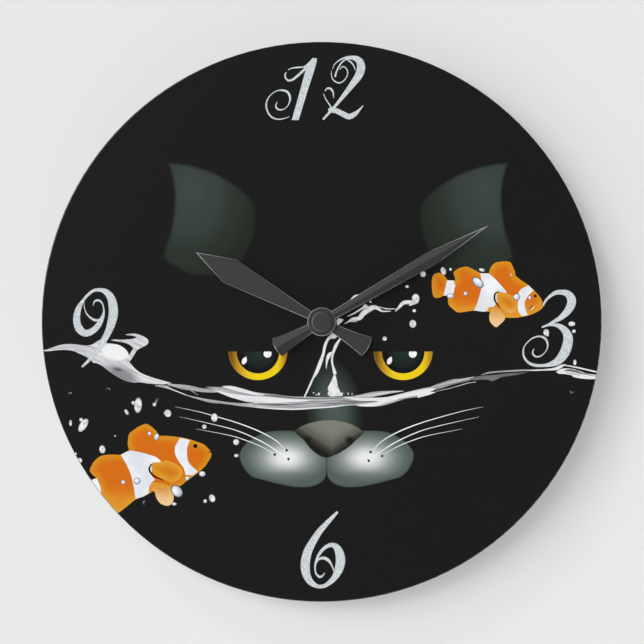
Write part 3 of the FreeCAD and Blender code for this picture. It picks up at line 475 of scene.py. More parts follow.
def silver_ink():
    """Glitter: fine grains from grey to white."""
    paint = Ink("silver_ink")
    grains = paint.add("TexVoronoi", [("Vector", paint.where()), ("Scale", 4200.0)], out="Color")
    glitter = paint.ramp(paint.axis(grains, "X"), (0.0, 158, 166, 171), (0.35, 195, 202, 206),
                         (0.8, 216, 221, 224), (1.0, 248, 250, 251), ease=True)
    return paint.colour(paint.mix(paint.side(0.7, 1.05), glitter, (140, 150, 158), 0.4))


def water_ink(name, scale, *stops):
    paint = Ink(name)
    return paint.colour(paint.ramp(paint.streaks(scale), *stops))


def wave_ink():
    """The curling wave: a white crest, grey below it and a dark hollow in its lower side."""
    paint = Ink("wave_ink")
    body = paint.ramp(paint.streaks((0.05, 1.0, 1)), (0.3, 150, 151, 154), (0.5, 206, 207, 210),
                      (0.7, 236, 236, 238))
    for place, fade, colour, share in (
            ((-97.2, -25.8, 11.0, 4.6, -25.0), (1.05, 0.35), (122, 123, 126), 0.85),
            ((-99.3, -23.2, 3.0, 1.0, -14.0), (1.2, 0.2), (78, 79, 82), 0.8),
            ((-100.6, -14.6, 7.9, 4.4, -12.0), (1.1, 0.7), (240, 240, 242), 1.0)):
        body = paint.mix(paint.fade(paint.radial(*place), *fade), body, colour, share)
    return paint.colour(body)


def splash_ink():
    paint = Ink("splash_ink")
    water = paint.ramp(paint.noise(320.0), (0.3, 204, 205, 208), (0.5, 232, 233, 235), (0.7, 240, 240, 242))
    return paint.colour(paint.mix(paint.side(0.5, 1.0), water, (150, 152, 156), 0.6))


def drop_ink():
    """A drop of water on black: mottled white with a grey rim."""
    paint = Ink("drop_ink")
    body = paint.ramp(paint.noise(900.0, 3.0), (0.35, 192, 194, 197), (0.6, 240, 240, 241), ease=True)
    rim = paint.fade(paint.length(paint.where("UV")), 0.72, 1.05)
    return paint.colour(paint.mix(rim, body, (120, 122, 126)))


def bubble_ink():
    """A clear bubble over the fish: bluish white in a dark ring."""
    paint = Ink("bubble_ink")
    uv = paint.where("UV")
    lit = paint.ramp(paint.length(paint.place(uv, at=(0.25, -0.3, 0))), (0.0, 252, 252, 253),
                     (0.5, 229, 231, 236), (1.0, 190, 196, 206), ease=True)
    return paint.colour(paint.mix(paint.fade(paint.length(uv), 0.7, 0.95), lit, (92, 98, 108)))


def fish_ink(name, inner, rim, belly, drop, pale=0.45):
    """Scales from inner to rim colour near the outline, paler below; each fish has its own origin."""
    paint = Ink(name)
    mottle = paint.math("MULTIPLY", paint.noise(160.0, 3.0), 0.5)
    depth = paint.math("SUBTRACT", paint.math("ADD", paint.edge(0.0, 4.5), mottle), 0.2, clamp=True)
    body = paint.mix(depth, rim, inner)
    low = paint.fade(paint.axis(paint.where(), "Z"), (drop + 5) * MM, (drop - 4) * MM)
    return paint.colour(paint.mix(low, body, belly, pale))


def plain_ink(name, light, dark, scale=300.0):
    """One printed colour with a slight mottle."""
    paint = Ink(name)
    return paint.colour(paint.mix(paint.fade(paint.noise(scale), 0.35, 0.65), dark, light))


def hand_paint():
    """Satin metallic grey lacquer, with a painted near-white highlight along the bevelled edges that is
    dimmed round the cap.
    """
    paint = Paint("dark_hands", Metallic=0.6)
    # painted highlight: the bevels, found by how far their normals turn from the dial's, get a near-white
    # colour under any light
    facing = paint.math("ABSOLUTE", paint.axis(paint.where("Normal"), "Y"))
    bevel_highlight = paint.math("MULTIPLY", paint.fade(facing, 0.45, 0.6), paint.fade(facing, 0.95, 0.85))
    # round the cap the painted highlight keeps only CAP_DIM of its strength
    off_cap = paint.fade(paint.radial(0, 0, CAP_RING), 0.95, 1.05)
    dimmed = paint.math("ADD", paint.math("MULTIPLY", off_cap, 1 - CAP_DIM), CAP_DIM)
    bevel_highlight = paint.math("MULTIPLY", bevel_highlight, dimmed)
    grain = paint.noise(1200.0, 3.0)
    paint.rough(grain, 0.38, 0.46)
    paint.bump(grain, 0.15, 0.02)
    return paint.colour(paint.mix(bevel_highlight, paint.mix(grain, (62, 62, 63), (74, 74, 75)), (225, 225, 225)))


def cloudy(name, dark, light, scale, rough=None, bump=None, **sockets):
    """A material whose colour, roughness and relief follow one cloud of noise."""
    paint = Paint(name, **sockets)
    cloud = paint.noise(scale)
    if rough:
        paint.rough(cloud, *rough)
    if bump:
        paint.bump(cloud, *bump)
    return paint.colour(paint.mix(cloud, dark, light))


def moulding():
    """Black ABS with a fine spark-eroded texture."""
    paint = Paint("black_moulding", Specular_IOR_Level=0.45)
    texture = paint.noise(3800.0, 2.0)
    paint.rough(paint.noise(260.0), 0.48, 0.66)
    paint.bump(texture, 0.35, 0.05)
    return paint.colour(paint.mix(texture, (30, 30, 32), (48, 48, 50)))


def metal(name, light, dark, low, high, scale=(1, 1, 1), grain=600.0):
    """Metal with fine tool marks drawn out by scale."""
    paint = Paint(name, Metallic=1.0)
    marks = paint.noise(grain, 5.0, 0.6, source=paint.place(paint.where(), scale))
    paint.rough(marks, low, high)
    paint.bump(marks, 0.12, 0.02)
    return paint.colour(paint.mix(marks, dark, light))


def nylon(name, light, dark):
    return cloudy(name, dark, light, 350.0, (0.38, 0.52), Specular_IOR_Level=0.45, Subsurface_Weight=0.15,
                  Subsurface_Scale=0.001)


def winding():
    """Enamelled copper wire, wound side by side along the coil."""
    paint = Paint("copper_wire", Metallic=0.9, Roughness=0.32, Coat_Weight=0.3)
    turns = paint.add("TexWave", [("Vector", paint.where()), ("Scale", 900.0), ("Distortion", 0.6),
                                  ("Detail", 2.0)], out=1, wave_type="BANDS", bands_direction="X")
    paint.bump(turns, 0.6, 0.05)
    return paint.colour(paint.mix(turns, (120, 52, 24), (214, 124, 70)))


def board():
    """Phenolic board with etched tracks."""
    paint = Paint("circuit_board", Roughness=0.45)
    flat = paint.place(paint.where(), turn=(math.pi / 2, 0, 0))
    tracks = paint.add("TexBrick", [("Vector", flat), ("Scale", 420.0), ("Mortar Size", 0.035),
                                    ("Mortar Smooth", 0.2)], out="Fac", offset=0.35, squash=0.6)
    base = paint.mix(paint.noise(900.0), (126, 88, 44), (156, 112, 60))
    return paint.colour(paint.mix(tracks, base, (196, 130, 70)))


def battery_jacket():
    """Printed foil: dark body, copper band at the button end, bare steel at both ends."""
    paint = Paint("battery_jacket", Metallic=0.85)
    bands = paint.ramp(paint.span(51), (0.0, 190, 190, 192), (0.028, 34, 36, 40), (0.74, 34, 36, 40),
                       (0.75, 196, 122, 64), (0.955, 205, 132, 72), (0.966, 190, 190, 192))
    scuffs = paint.noise(220.0, 6.0, source=paint.place(paint.where(), (1, 6, 6)))
    paint.rough(scuffs, 0.22, 0.42)
    return paint.colour(paint.mix(scuffs, bands, (150, 150, 150), 0.2))


# Each metal's light and dark tone, roughness range, and how far and how coarsely its tool marks are drawn.
METALS = {
    "brass": ((222, 186, 104), (184, 146, 74), 0.18, 0.36),
    "plated_steel": ((206, 208, 212), (164, 168, 174), 0.24, 0.42, (1, 1, 8), 260.0),
    "magnet": ((96, 96, 100), (66, 66, 70), 0.4, 0.6),
    "soft_iron": ((168, 170, 174), (128, 130, 136), 0.3, 0.5, (8, 1, 1), 300.0),
    "contact_metal": ((216, 212, 200), (178, 172, 158), 0.16, 0.32, (8, 1, 1), 300.0),
}
SLOTS = {name: metal(name, *look) for name, look in METALS.items()} | {
    "black_acrylic": cloudy("black_acrylic", (24, 24, 25), (34, 34, 35), 90.0, (0.08, 0.2), Coat_Weight=0.2,
                            Coat_Roughness=0.05),
    "dial_print": dial_black(),
    "black_rubber": cloudy("black_rubber", (26, 26, 26), (46, 45, 44), 1500.0, bump=(0.5, 0.04),
                           Roughness=0.85, Specular_IOR_Level=0.3),
    "dark_hands": hand_paint(), "black_moulding": moulding(),
    "white_nylon": nylon("white_nylon", (240, 240, 236), (222, 222, 214)),
    "natural_nylon": nylon("natural_nylon", (226, 222, 204), (206, 200, 178)),
    "copper_wire": winding(), "circuit_board": board(), "battery_jacket": battery_jacket(),
    "black_resin": cloudy("black_resin", (14, 14, 14), (28, 28, 28), 500.0, (0.12, 0.3), Coat_Weight=0.4),
}
for part in frame["record"]["subparts"]:
    for holder in frame["nodes"][part["node"]].material_slots:
        holder.material = SLOTS[part["material_slot"]]


# ================================================================ the face in the picture
def face():
    ear = outline(
        [(-75.1, 77.7), (-68.6, 77.2), (-59.9, 75.3), (-51.2, 72.2), (-42.4, 67), (-35.9, 61.8), (-32, 57)],
        [(-31.8, 50.9), (-32.9, 42.2), (-36.3, 34.3), (-38.5, 30.4), (-45, 24.5)],
        [(-52.5, 21.7), (-57.7, 22.1), (-64.2, 23), (-70.8, 26), (-77.7, 30.8)],
        [(-76, 37.8), (-73.8, 44.3), (-72.3, 53.1), (-71.9, 61.8), (-72.7, 69.6)])
    ears = Print("ink_ears", ear_ink(), 1)
    ears.fill(ear, grid=1.2)
    ears.fill(np.array(mirrored(ear, EAR_LINE))[::-1], grid=1.2)

    bridge = Print("ink_nose_bridge", bridge_ink(), 1)
    bridge.fill(ellipse(*BRIDGE, count=48), grid=1.5)

    lobe = [(2.4, -65.5), (-2, -62), (-6, -57), (-11, -53.6), (-20.3, -53.1), (-28.1, -54.1),
            (-35.3, -58), (-39.2, -62.3), (-40, -66.2), (-37.9, -71.4), (-34, -75.4), (-28.8, -77),
            (-21.6, -78.9), (-13.7, -80.4), (-6.5, -80.5), (-1.3, -78.9), (1.6, -76), (2.3, -72.7)]
    muzzle = Print("ink_muzzle", muzzle_ink(), 2)
    for side in (lobe, mirrored(lobe, LOBE_LINE)[::-1]):
        muzzle.shape(side, grid=1.0)

    nose = Print("ink_nose", nose_ink(), 3)
    nose.shape(
        [(-13.4, -53.5), (-10.6, -51.2), (-6.8, -49.6), (-2.2, -48.4), (3.1, -47.8), (8.4, -48.2),
         (13.6, -49.5), (17.5, -51.4), (20.4, -53.6)],
        [(20.2, -54.4), (18.6, -56), (16.4, -58), (14.2, -60.2), (11.2, -62.4), (7.3, -64.6), (2.8, -66.3)],
        [(0, -65.8), (-2.7, -64.2), (-5.3, -62), (-7.1, -59.8), (-8.8, -57.6), (-11, -55.8)], grid=0.8)

    dots = Print("ink_whisker_roots", plain_ink("root_ink", (34, 36, 38), (26, 27, 28)), 4)
    for x, z in ((-17.1, -62.6), (-22.9, -64.7), (-16.2, -66.9), (23.8, -63.5), (29.5, -65.4),
                 (22.9, -67.7)):
        dots.drop(x, z, 0.6, 0.65)

    whiskers = Print("ink_whiskers", plain_ink("whisker_ink", (250, 251, 251), (232, 235, 235), 120.0), 3)
    whiskers.least = 0.08
    for path in ([(-17.7, -62.5, 0.2), (-22.1, -58.1, 0.4), (-29.8, -53.7, 0.52), (-40.1, -49.6, 0.5),
                  (-50.3, -46.5, 0.4), (-60.6, -43.7, 0.25), (-71.4, -41.4, 0.08)],
                 [(-16.7, -66.3, 0.2), (-22.1, -62.7, 0.42), (-29.8, -58.1, 0.5), (-40.1, -53.5, 0.42),
                  (-50.3, -50.6, 0.3), (-69.3, -46.3, 0.08)],
                 [(-23.6, -64.3, 0.2), (-29.8, -60.7, 0.35), (-37.5, -57.6, 0.4), (-45.2, -55.3, 0.28),
                  (-61.1, -52.2, 0.08)]):
        whiskers.strokes(path, mirrored(path, WHISKER_LINE))


EYE_Z = -14.5  # the line of the eyelids
IRIS_OUTER, IRIS_INNER = (14.35, 13.9), (10.4, 10.65)  # radii across and down


def lower_arc(x, radii):
    """The lower half of an ellipse centred on the eyelid's line."""
    return [(x + radii[0] * math.cos(a), EYE_Z + radii[1] * math.sin(a))
            for a in np.radians(np.linspace(180, 360, 49))]


def eyes():
    iris, pupil = iris_ink(), pupil_ink()
    glint = plain_ink("glint_ink", (250, 250, 250), (236, 237, 240))
    for side, x in (("left", -31.1), ("right", 39.7)):
        rim = Print(f"ink_iris_{side}", iris, 2, (x, EYE_Z))
        outer, inner = np.array(lower_arc(x, IRIS_OUTER)), np.array(lower_arc(x, IRIS_INNER))
        shares = (0.0, 0.2, 0.5, 0.8, 1.0)
        n = len(shares)
        points = [p + (q - p) * share for p, q in zip(inner, outer) for share in shares]
        faces = [(a, a + 1, a + n + 1, a + n)
                 for i in range(len(outer) - 1) for a in range(n * i, n * i + n - 1)]
        rim.add(points, faces, [(0.0, 2 * share - 1) for share in shares] * len(outer))
        Print(f"ink_pupil_{side}", pupil, 1, (x, EYE_Z)).fill(inner, grid=0.9)
        shine = Print(f"ink_glint_{side}", glint, 3)
        disc = ellipse(x + 4.7, EYE_Z - 1.05, 1.95)
        disc[:, 1] = np.minimum(disc[:, 1], EYE_Z)
        shine.fill(disc)
        shine.drop(x - 6.5, EYE_Z - 4.3, 1.15, 2.1, -24.0, taper=0.85)


# ================================================================ numerals
class Script(Print):
    """A numeral in flowing pen strokes, slimmer where they are thin."""

    def ribbon(self, path):
        super().ribbon([(x, z, w * (0.8 + 0.2 * min(max(w - 1, 0), 1))) for x, z, w in path])


def numerals():
    silver = silver_ink()
    twelve = Script("ink_numeral_12", silver, 8)
    twelve.shape(
        [(-4.5, 128.5), (-6.5, 126.3), (-8.9, 124.3)],
        [(-7.8, 122.9), (-11.1, 110.7), (-14.6, 98.3)],
        [(-11.2, 98.3), (-7.2, 111.5), (-3, 124.6), (-2.3, 128.5)])
    twelve.strokes(
        [(-16.3, 122.8, 0.3), (-14.6, 123.6, 0.7), (-11.5, 124, 1), (-8.5, 124.2, 0.8)],
        [(-7.2, 124.2, 1.3), (-10.6, 120.9, 1.4), (-14.1, 118.1, 1.3), (-16.3, 117.6, 1.1),
         (-17.7, 119.1, 1), (-17.8, 120.7, 0.8), (-17.2, 121.6, 0.4)],
        [(-15.9, 100, 0.3), (-18, 99.2, 0.5), (-21.1, 98.7, 0.8), (-24.4, 99.8, 1), (-26.5, 102.8, 1),
         (-27, 106.3, 1), (-25.7, 109.6, 0.6), (-22.8, 112.1, 0.5), (-19.8, 112.9, 1), (-16.7, 112, 1.3),
         (-15.4, 109.3, 1.2), (-15.9, 106.5, 0.7), (-17.4, 104.3, 0.5), (-19.6, 103.3, 0.8),
         (-21.5, 103.7, 1.1), (-22.4, 105.2, 0.8), (-21.8, 107, 0.4)],
        [(6.6, 119.6, 1.1), (7.4, 122.4, 1), (9.4, 125.9, 0.9), (11.8, 127.9, 1), (15.1, 128.7, 2),
         (18.1, 127.4, 3.3), (19.2, 124.2, 4.1), (18.1, 120.2, 3.9), (15.1, 115.9, 3), (10.7, 110.2, 2),
         (6.8, 105.4, 1.5), (3.7, 101.9, 1.4), (0.9, 98.9, 1.2)],
        [(5.3, 123.2, 0.3), (6.1, 125.2, 0.5), (7.9, 127, 0.7), (10.3, 128.3, 1), (12.9, 129, 1.3),
         (15.5, 129.2, 1.3)],
        [(12, 127.9, 0.4), (14.2, 126.6, 1), (15.7, 124.6, 0.7), (16.3, 122.6, 0.3)],
        [(4.7, 122.2, 0.3), (4.8, 119.8, 0.5), (5.9, 117.6, 0.7), (8.5, 116.4, 0.9), (10.9, 117.6, 0.7),
         (12.5, 120.2, 0.6), (12.5, 122.6, 0.7), (11.1, 124.2, 0.8), (9.8, 124.2, 0.7), (8.7, 122.9, 0.4)],
        [(4.4, 103.2, 2.6), (7.2, 102.8, 2.6), (10.3, 101.3, 2.7), (13.3, 100, 2.7), (15.9, 101.1, 2.4),
         (18.1, 103, 1.4), (20.1, 105.2, 0.5)],
        [(0.9, 111.1, 0.4), (1.8, 108.9, 0.6), (3.3, 106.5, 0.7), (4.8, 104.3, 0.9)],
        [(1.7, 112.6, 0.5), (2.6, 113.7, 1), (4.2, 113.7, 1.2), (5.5, 112, 1), (5.8, 109.1, 0.3)])

    three = Script("ink_numeral_3", silver, 8)
    three.strokes(
        [(108, 8.2, 1.1), (109.3, 10.5, 1.3), (111.6, 12.7, 1.6), (114.2, 14.2, 2.1), (117.2, 14.4, 2.5),
         (119.8, 13.7, 3.3), (121.6, 11.4, 4.2), (121.6, 8.5, 4.2), (119.8, 5.2, 3.6), (116.5, 2, 2.5),
         (112.9, 0, 1.6), (110.3, -1.5, 1.3), (107.5, -2.6, 1)],
        [(107.7, -2.5, 1), (110.3, -1.6, 1.3), (113.3, -1.5, 1.6), (116.2, -2.3, 2.5), (118.8, -4.6, 3.6),
         (120.1, -7.8, 4.6), (119.5, -12.1, 4.9), (117.8, -16, 4.7), (115.2, -19, 3.8), (111.9, -20.6, 2.5),
         (108.4, -21.3, 1.6), (104.1, -21.2, 1.6), (100.8, -19.9, 1.4), (98.7, -17.3, 1.2),
         (98.2, -14.4, 1), (98.9, -11.8, 0.6), (101.2, -9.1, 0.7), (103.8, -7.5, 0.9), (106.4, -7.1, 1),
         (108.7, -8, 1.3), (110, -10.1, 1.1), (110, -12.7, 0.7), (108.7, -15, 0.5), (106.7, -16.7, 0.8),
         (104.4, -17, 1), (103, -15.7, 1.1), (102.9, -14.4, 0.8), (103.5, -13.2, 0.4)])

    six = Script("ink_numeral_6", silver, 8)
    six.strokes(
        [(7.4, -93, 1.4), (5, -95.5, 1.9), (1.9, -98.8, 2.5), (-1.5, -102.8, 3.1), (-4.3, -107.2, 3.6),
         (-6.7, -111.8, 4.2), (-7.9, -116.8, 4.5), (-7.9, -120.9, 4.4), (-7, -124.3, 3.7),
         (-5.1, -127.1, 3), (-2.1, -128.9, 1.9), (1, -128.8, 1.9), (3.8, -127.1, 2.3), (6.3, -124.6, 3),
         (8.1, -121.2, 4), (9.1, -117.4, 4.6), (8.9, -113.7, 4.4), (7.7, -110.6, 3.6), (6, -109, 2.5),
         (3.8, -108.9, 2), (1.3, -110.3, 1.7), (-0.9, -112.8, 1.6), (-2.3, -115.3, 1.3),
         (-3.1, -118.4, 1.2), (-3.2, -120.9, 0.9), (-2.6, -123, 1.1), (-1, -124.3, 1.4), (0.5, -123.8, 1.1),
         (1.4, -122.4, 0.4)],
        [(-2.4, -117.3, 0.6), (-1.4, -115.7, 1.2), (1, -115.1, 1.6), (3.2, -116.2, 1.6), (4.6, -118.1, 1.1),
         (5.5, -120.2, 0.8), (6.1, -122.1, 0.6)])

    nine = Script("ink_numeral_9", silver, 8)
    nine.strokes(
        [(-111.4, 8, 0.3), (-110.8, 9.8, 0.9), (-109.1, 10.5, 1.2), (-107.3, 9.5, 1), (-106.4, 7.2, 0.8),
         (-106.2, 4.6, 1.2), (-107.2, 1.3, 2), (-109.1, -2, 2.8), (-112.1, -4.7, 3.1), (-115.3, -5.5, 3.4),
         (-118, -3.6, 3.8), (-119.3, -0.3, 3.5), (-119.3, 3.3, 3.3), (-118.3, 6.9, 2.6),
         (-116.5, 10.1, 1.6), (-114, 13.1, 1.5), (-111.1, 15.2, 1.6), (-107.8, 15.5, 1.9),
         (-104.9, 14.4, 2.9), (-102.6, 11.4, 3.9), (-101.7, 7.5, 4.4), (-101.6, 3.6, 4.5),
         (-102.4, -0.3, 4.2), (-103.7, -4.2, 3.5), (-105.5, -7.8, 3.1), (-107.8, -11.8, 2.6),
         (-110.8, -15.7, 2), (-113.7, -19, 1.6), (-116.5, -21.7, 1.25)],
        [(-115.8, 9.6, 0.3), (-115.7, 7.2, 0.5), (-114.7, 4.2, 0.7), (-112.7, 2, 1.1), (-110.4, 0.8, 1.4),
         (-108.2, 1.1, 1.2), (-106.5, 2.9, 0.7)])


# ================================================================ water
FLOW = [(-137, -14.2), (-120, -12.5), (-108, -15.5), (-98, -21), (-88, -26.5), (-75, -30.2), (-60, -33.5),
        (-45, -36), (-30, -38.3), (-10, -39.8), (10, -39.4), (30, -37.4), (50, -33.7), (65, -30), (77, -27.4),
        (90, -25.6), (104, -23.8), (115, -22.5), (125, -24), (137, -27)]


class Water(Print):
    """A piece of the water, with its streaks along the flow."""

    least = 0.18

    def shape(self, *runs):
        self.fill(outline(*runs), 0.8, FLOW)

    def ribbon(self, path):
        start = len(self.uvs)
        super().ribbon(path)
        self.uvs[start:] = [tuple(uv) for uv in along_flow(np.array(self.points[start:]), FLOW)]


def water():
    bright = water_ink("water_light_ink", (0.07, 1.3, 1), (0.25, 196, 197, 200), (0.45, 228, 228, 231),
                       (0.7, 240, 240, 242))
    middle = water_ink("water_grey_ink", (0.05, 1.5, 1), (0.3, 112, 112, 115), (0.5, 168, 168, 171),
                       (0.72, 212, 212, 215))
    deep = water_ink("water_deep_ink", (0.06, 1.2, 1), (0.3, 74, 75, 77), (0.7, 132, 133, 136))

    wave = Water("ink_wave", wave_ink(), 5)
    wave.shape(
        [(-135.9, -14), (-132.3, -12.9), (-127.6, -11.3), (-123.5, -10.8), (-119.4, -11), (-115.3, -11.5),
         (-112.2, -11.2), (-109.2, -9.4), (-107.1, -8.1)],
        [(-104.5, -10.5), (-102, -10.7), (-98.9, -11.3), (-96.3, -12.8), (-94.5, -14.8), (-93.9, -16.4)],
        [(-93.5, -15.8), (-92.7, -14.3), (-91.9, -13), (-93, -11.7), (-95.3, -10.5), (-98.9, -9.7),
         (-103, -8.9)],
        [(-100.9, -8.6), (-96.3, -8.7), (-92.7, -8.4), (-90.2, -7.6), (-91.7, -6.9), (-95.8, -6.3)],
        [(-93.7, -5.8), (-90.7, -5.8), (-88.1, -6.6), (-85.5, -7.9), (-84.4, -9.4), (-85, -11),
         (-87.6, -12.5), (-89.9, -13.8), (-91.2, -15.8), (-92.5, -17.9), (-93.5, -19.2)],
        [(-93.5, -20), (-92.2, -22), (-89.6, -24.3), (-86, -26.4), (-80.9, -27.9), (-75.8, -29.2),
         (-72.9, -30)],
        [(-78.3, -30.5), (-83.5, -30.2), (-88.6, -29.5), (-92.2, -29.6), (-95.8, -28.7), (-99.9, -26.6),
         (-104, -23.8), (-107.1, -21.5), (-109.7, -20.2), (-111.5, -20)],
        [(-112, -18.9), (-114.3, -17.4), (-117.9, -15.6), (-121, -14.3), (-124.6, -13.7), (-128.7, -13.8),
         (-132.3, -14.2), (-135.9, -14.4)])

    band = Water("ink_water_band", middle, 5)
    band.shape(
        [(-52.5, -31.6), (-49.7, -32), (-47.6, -31.3), (-44.8, -31.2), (-42, -31.6), (-35.7, -33.6),
         (-28.8, -34.8), (-21.8, -35.5), (-14.8, -36.4), (-8.6, -36.5), (3.3, -36.8), (11, -36.5),
         (17.2, -35.8), (25.6, -34.1), (34, -33.6), (40.2, -33.7)],
        [(40.2, -33.8), (32.6, -35.1), (25.6, -36.5), (23.5, -36.8)],
        [(27, -37), (32.6, -36.5), (38.2, -35.1), (47.9, -32.7), (52.8, -31.8)],
        [(52.8, -35.5), (47.9, -36.4), (40.9, -37.5), (34, -39.7), (29.1, -41), (24.2, -41.4),
         (18.6, -41.2), (17.2, -40.7), (11, -41), (4.7, -41.8), (-4.4, -42.4), (-12.7, -42.8), (-19, -42.8),
         (-23.9, -42.5), (-32.3, -41.8), (-38.5, -41.2), (-44.8, -40.4), (-49.7, -39.8), (-53.9, -39.4)],
        [(-53.9, -38.2), (-49.7, -38.6), (-46.2, -39.1), (-39.2, -39.7), (-32.9, -39.6)],
        [(-32.8, -39.3), (-39.2, -38.1), (-45.5, -36.4), (-49.7, -34.8), (-52.5, -34)])
    band.shape(
        [(47.9, -33.6), (51.6, -32.4), (55.9, -30.5), (60.1, -29.1), (64.4, -28), (68.7, -27.6),
         (72.3, -27), (74.3, -26.7)],
        [(74.2, -27.6), (71.1, -28.8), (66.2, -30), (61.3, -31.4), (55.9, -33.1), (51.6, -33.9),
         (47.9, -34.5)])
    band.strokes(
        [(-74.9, -30.5, 0.5), (-68.9, -31.6, 2.1), (-63.5, -32.4, 2.3), (-57.5, -33.4, 1.8),
         (-52, -33.4, 2.2)],
        [(-81, -31.1, 0.5), (-76, -31.6, 1.4), (-72.9, -33, 0.6), (-66.3, -35.6, 0.4), (-60.2, -37.3, 0.9),
         (-55, -38.5, 1.4), (-50.3, -39.2, 1.3)],
        [(55.9, -33.8, 0.3), (61.3, -32.7, 0.37), (66.2, -31.4, 0.37), (71.1, -29.9, 0.43),
         (75.1, -29.3, 0.37)],
        [(-64.5, -33, 0.4), (-60.3, -35.7, 0.2)],
        [(-56.2, -31.8, 0.3), (-52, -32.1, 0.7), (-47.5, -32.2, 0.8)],
        [(77.8, -25.8, 0.3), (80.9, -25, 0.8), (84.5, -24.5, 0.75), (90.6, -24, 0.75), (96.7, -23.7, 0.7),
         (102.8, -23.6, 0.4)])

    shade = Water("ink_water_shade", deep, 6)
    shade.shape(
        [(72.6, -27.7), (74.8, -26.8), (78.4, -26.2), (82.1, -26), (87, -25.6), (91.8, -25), (96.7, -24.8),
         (101, -24.5)],
        [(97.9, -25.2), (94.3, -26.1), (90, -26.6), (87, -27.2), (84.5, -28.6), (82.4, -28.9),
         (81.3, -28.2)],
        [(77.2, -28.2), (73.5, -28.5)])
    shade.strokes(
        [(9.6, -38.6, 0.28), (16.5, -39, 0.63), (24.2, -38.9, 0.56), (28.4, -38.4, 0.35),
         (31.9, -38.1, 0.21)],
        [(-27.4, -35.5, 0.28), (-21.8, -36.1, 0.6), (-14.8, -37.1, 0.5), (-6.5, -37.3, 0.4),
         (3.3, -37.5, 0.35), (10.3, -37.1, 0.2)],
        [(-33.6, -40.4, 0.28), (-28.8, -40.1, 0.6), (-21.8, -40.4, 0.7), (-14.8, -40.3, 0.4),
         (-6.5, -40, 0.2)],
        [(-5.1, -39.6, 0.2), (3.3, -39.7, 0.4), (10.3, -39.6, 0.35), (16.5, -39.8, 0.2)],
        [(51.6, -33.7, 0.24), (57.7, -32.5, 0.37), (63.8, -30.6, 0.37), (69.9, -29.1, 0.24)])

    light = Water("ink_water_light", bright, 7)
    light.shape([(46.7, -34.4), (51.6, -34.1), (55.9, -34.2)], [(52.8, -35.5), (47.9, -36.8), (46.7, -37)])
    light.shape(
        [(114.2, -24.5), (115.6, -23.5), (118.1, -22.7), (120.5, -22.8), (123.6, -23.2), (127.2, -24.4),
         (130, -25.4), (132.1, -25.6), (134.8, -26.1)],
        [(134.4, -28), (129.7, -27.9), (125.4, -27.5), (122.6, -26.9)],
        [(121.7, -26), (118.7, -25.5), (115.6, -25.3)])
    light.strokes(
        [(-47.9, -31.6, 0.5), (-44.8, -32, 1.5), (-40.6, -33, 1.9), (-35.7, -34.3, 1.7),
         (-31.6, -35.3, 1.1), (-28.1, -35.8, 0.3)],
        [(-52.5, -33.6, 0.3), (-49.7, -34.1, 0.8), (-45.5, -35.5, 1.7), (-40.6, -36.6, 2.5),
         (-35.7, -37.5, 3.1), (-28.8, -38, 3.1), (-21.8, -38.3, 2.4), (-14.8, -38.4, 1.5),
         (-7.9, -38.3, 0.8), (-5.1, -38.2, 0.2)],
        [(-32.3, -41.7, 0.3), (-23.9, -42.3, 0.55), (-19, -42.5, 0.65), (-12.7, -42.6, 0.65),
         (-4.4, -42.1, 0.6), (4.7, -41.5, 0.55), (11, -40.7, 0.4)],
        [(11, -36.8, 0.3), (15.8, -37.4, 1.2), (20, -37.8, 1.4), (24.2, -37.8, 1.5), (29.8, -37.8, 1.8),
         (34, -37.2, 1.8), (40.9, -35.8, 2), (47.9, -34.3, 2.2), (52.8, -33.2, 1.6), (55.6, -32.6, 0.3)],
        [(17.2, -40.7, 0.35), (21.4, -40.6, 1.3), (27, -40, 1.8), (31.2, -38.9, 1.5), (35.4, -37.9, 1.1),
         (38.2, -37.2, 0.3)],
        [(17.2, -36.6, 0.2), (24.2, -35.7, 0.4), (31.2, -34.4, 0.4), (39.5, -33.7, 0.2)],
        [(99.5, -23.65, 0.2), (103.5, -23.6, 0.6), (108.9, -23.4, 0.7), (112.6, -23.1, 1.1),
         (115, -22.6, 1.6), (116.8, -21.6, 1.4), (118.7, -20.9, 0.5)],
        [(118.1, -21.2, 0.4), (121.1, -21.6, 0.65), (126, -22.6, 0.7), (130.3, -23.6, 0.7),
         (134.8, -24.6, 0.7)],
        [(-76.5, -31.8, 0.3), (-72, -33.3, 0.45), (-66, -35.7, 0.3)],
        [(-93, -20.6, 0.3), (-91.4, -22.9, 0.7), (-88, -25.4, 0.7), (-82, -27.6, 0.5), (-74.5, -29.6, 0.3)])

    streaks = Water("ink_water_streaks", deep, 8)
    streaks.strokes(
        [(118.1, -23.8, 0.2), (120.5, -23.6, 1.1), (123.6, -24.1, 1.2), (126.6, -25.2, 0.6),
         (129.1, -25.8, 0.18)],
        [(123.6, -23.3, 0.18), (127.2, -24.5, 0.35), (130.3, -25.9, 0.4), (133.3, -26.4, 0.2)],
        [(119, -24.8, 0.18), (122.3, -25.3, 0.28), (126, -26, 0.2)])

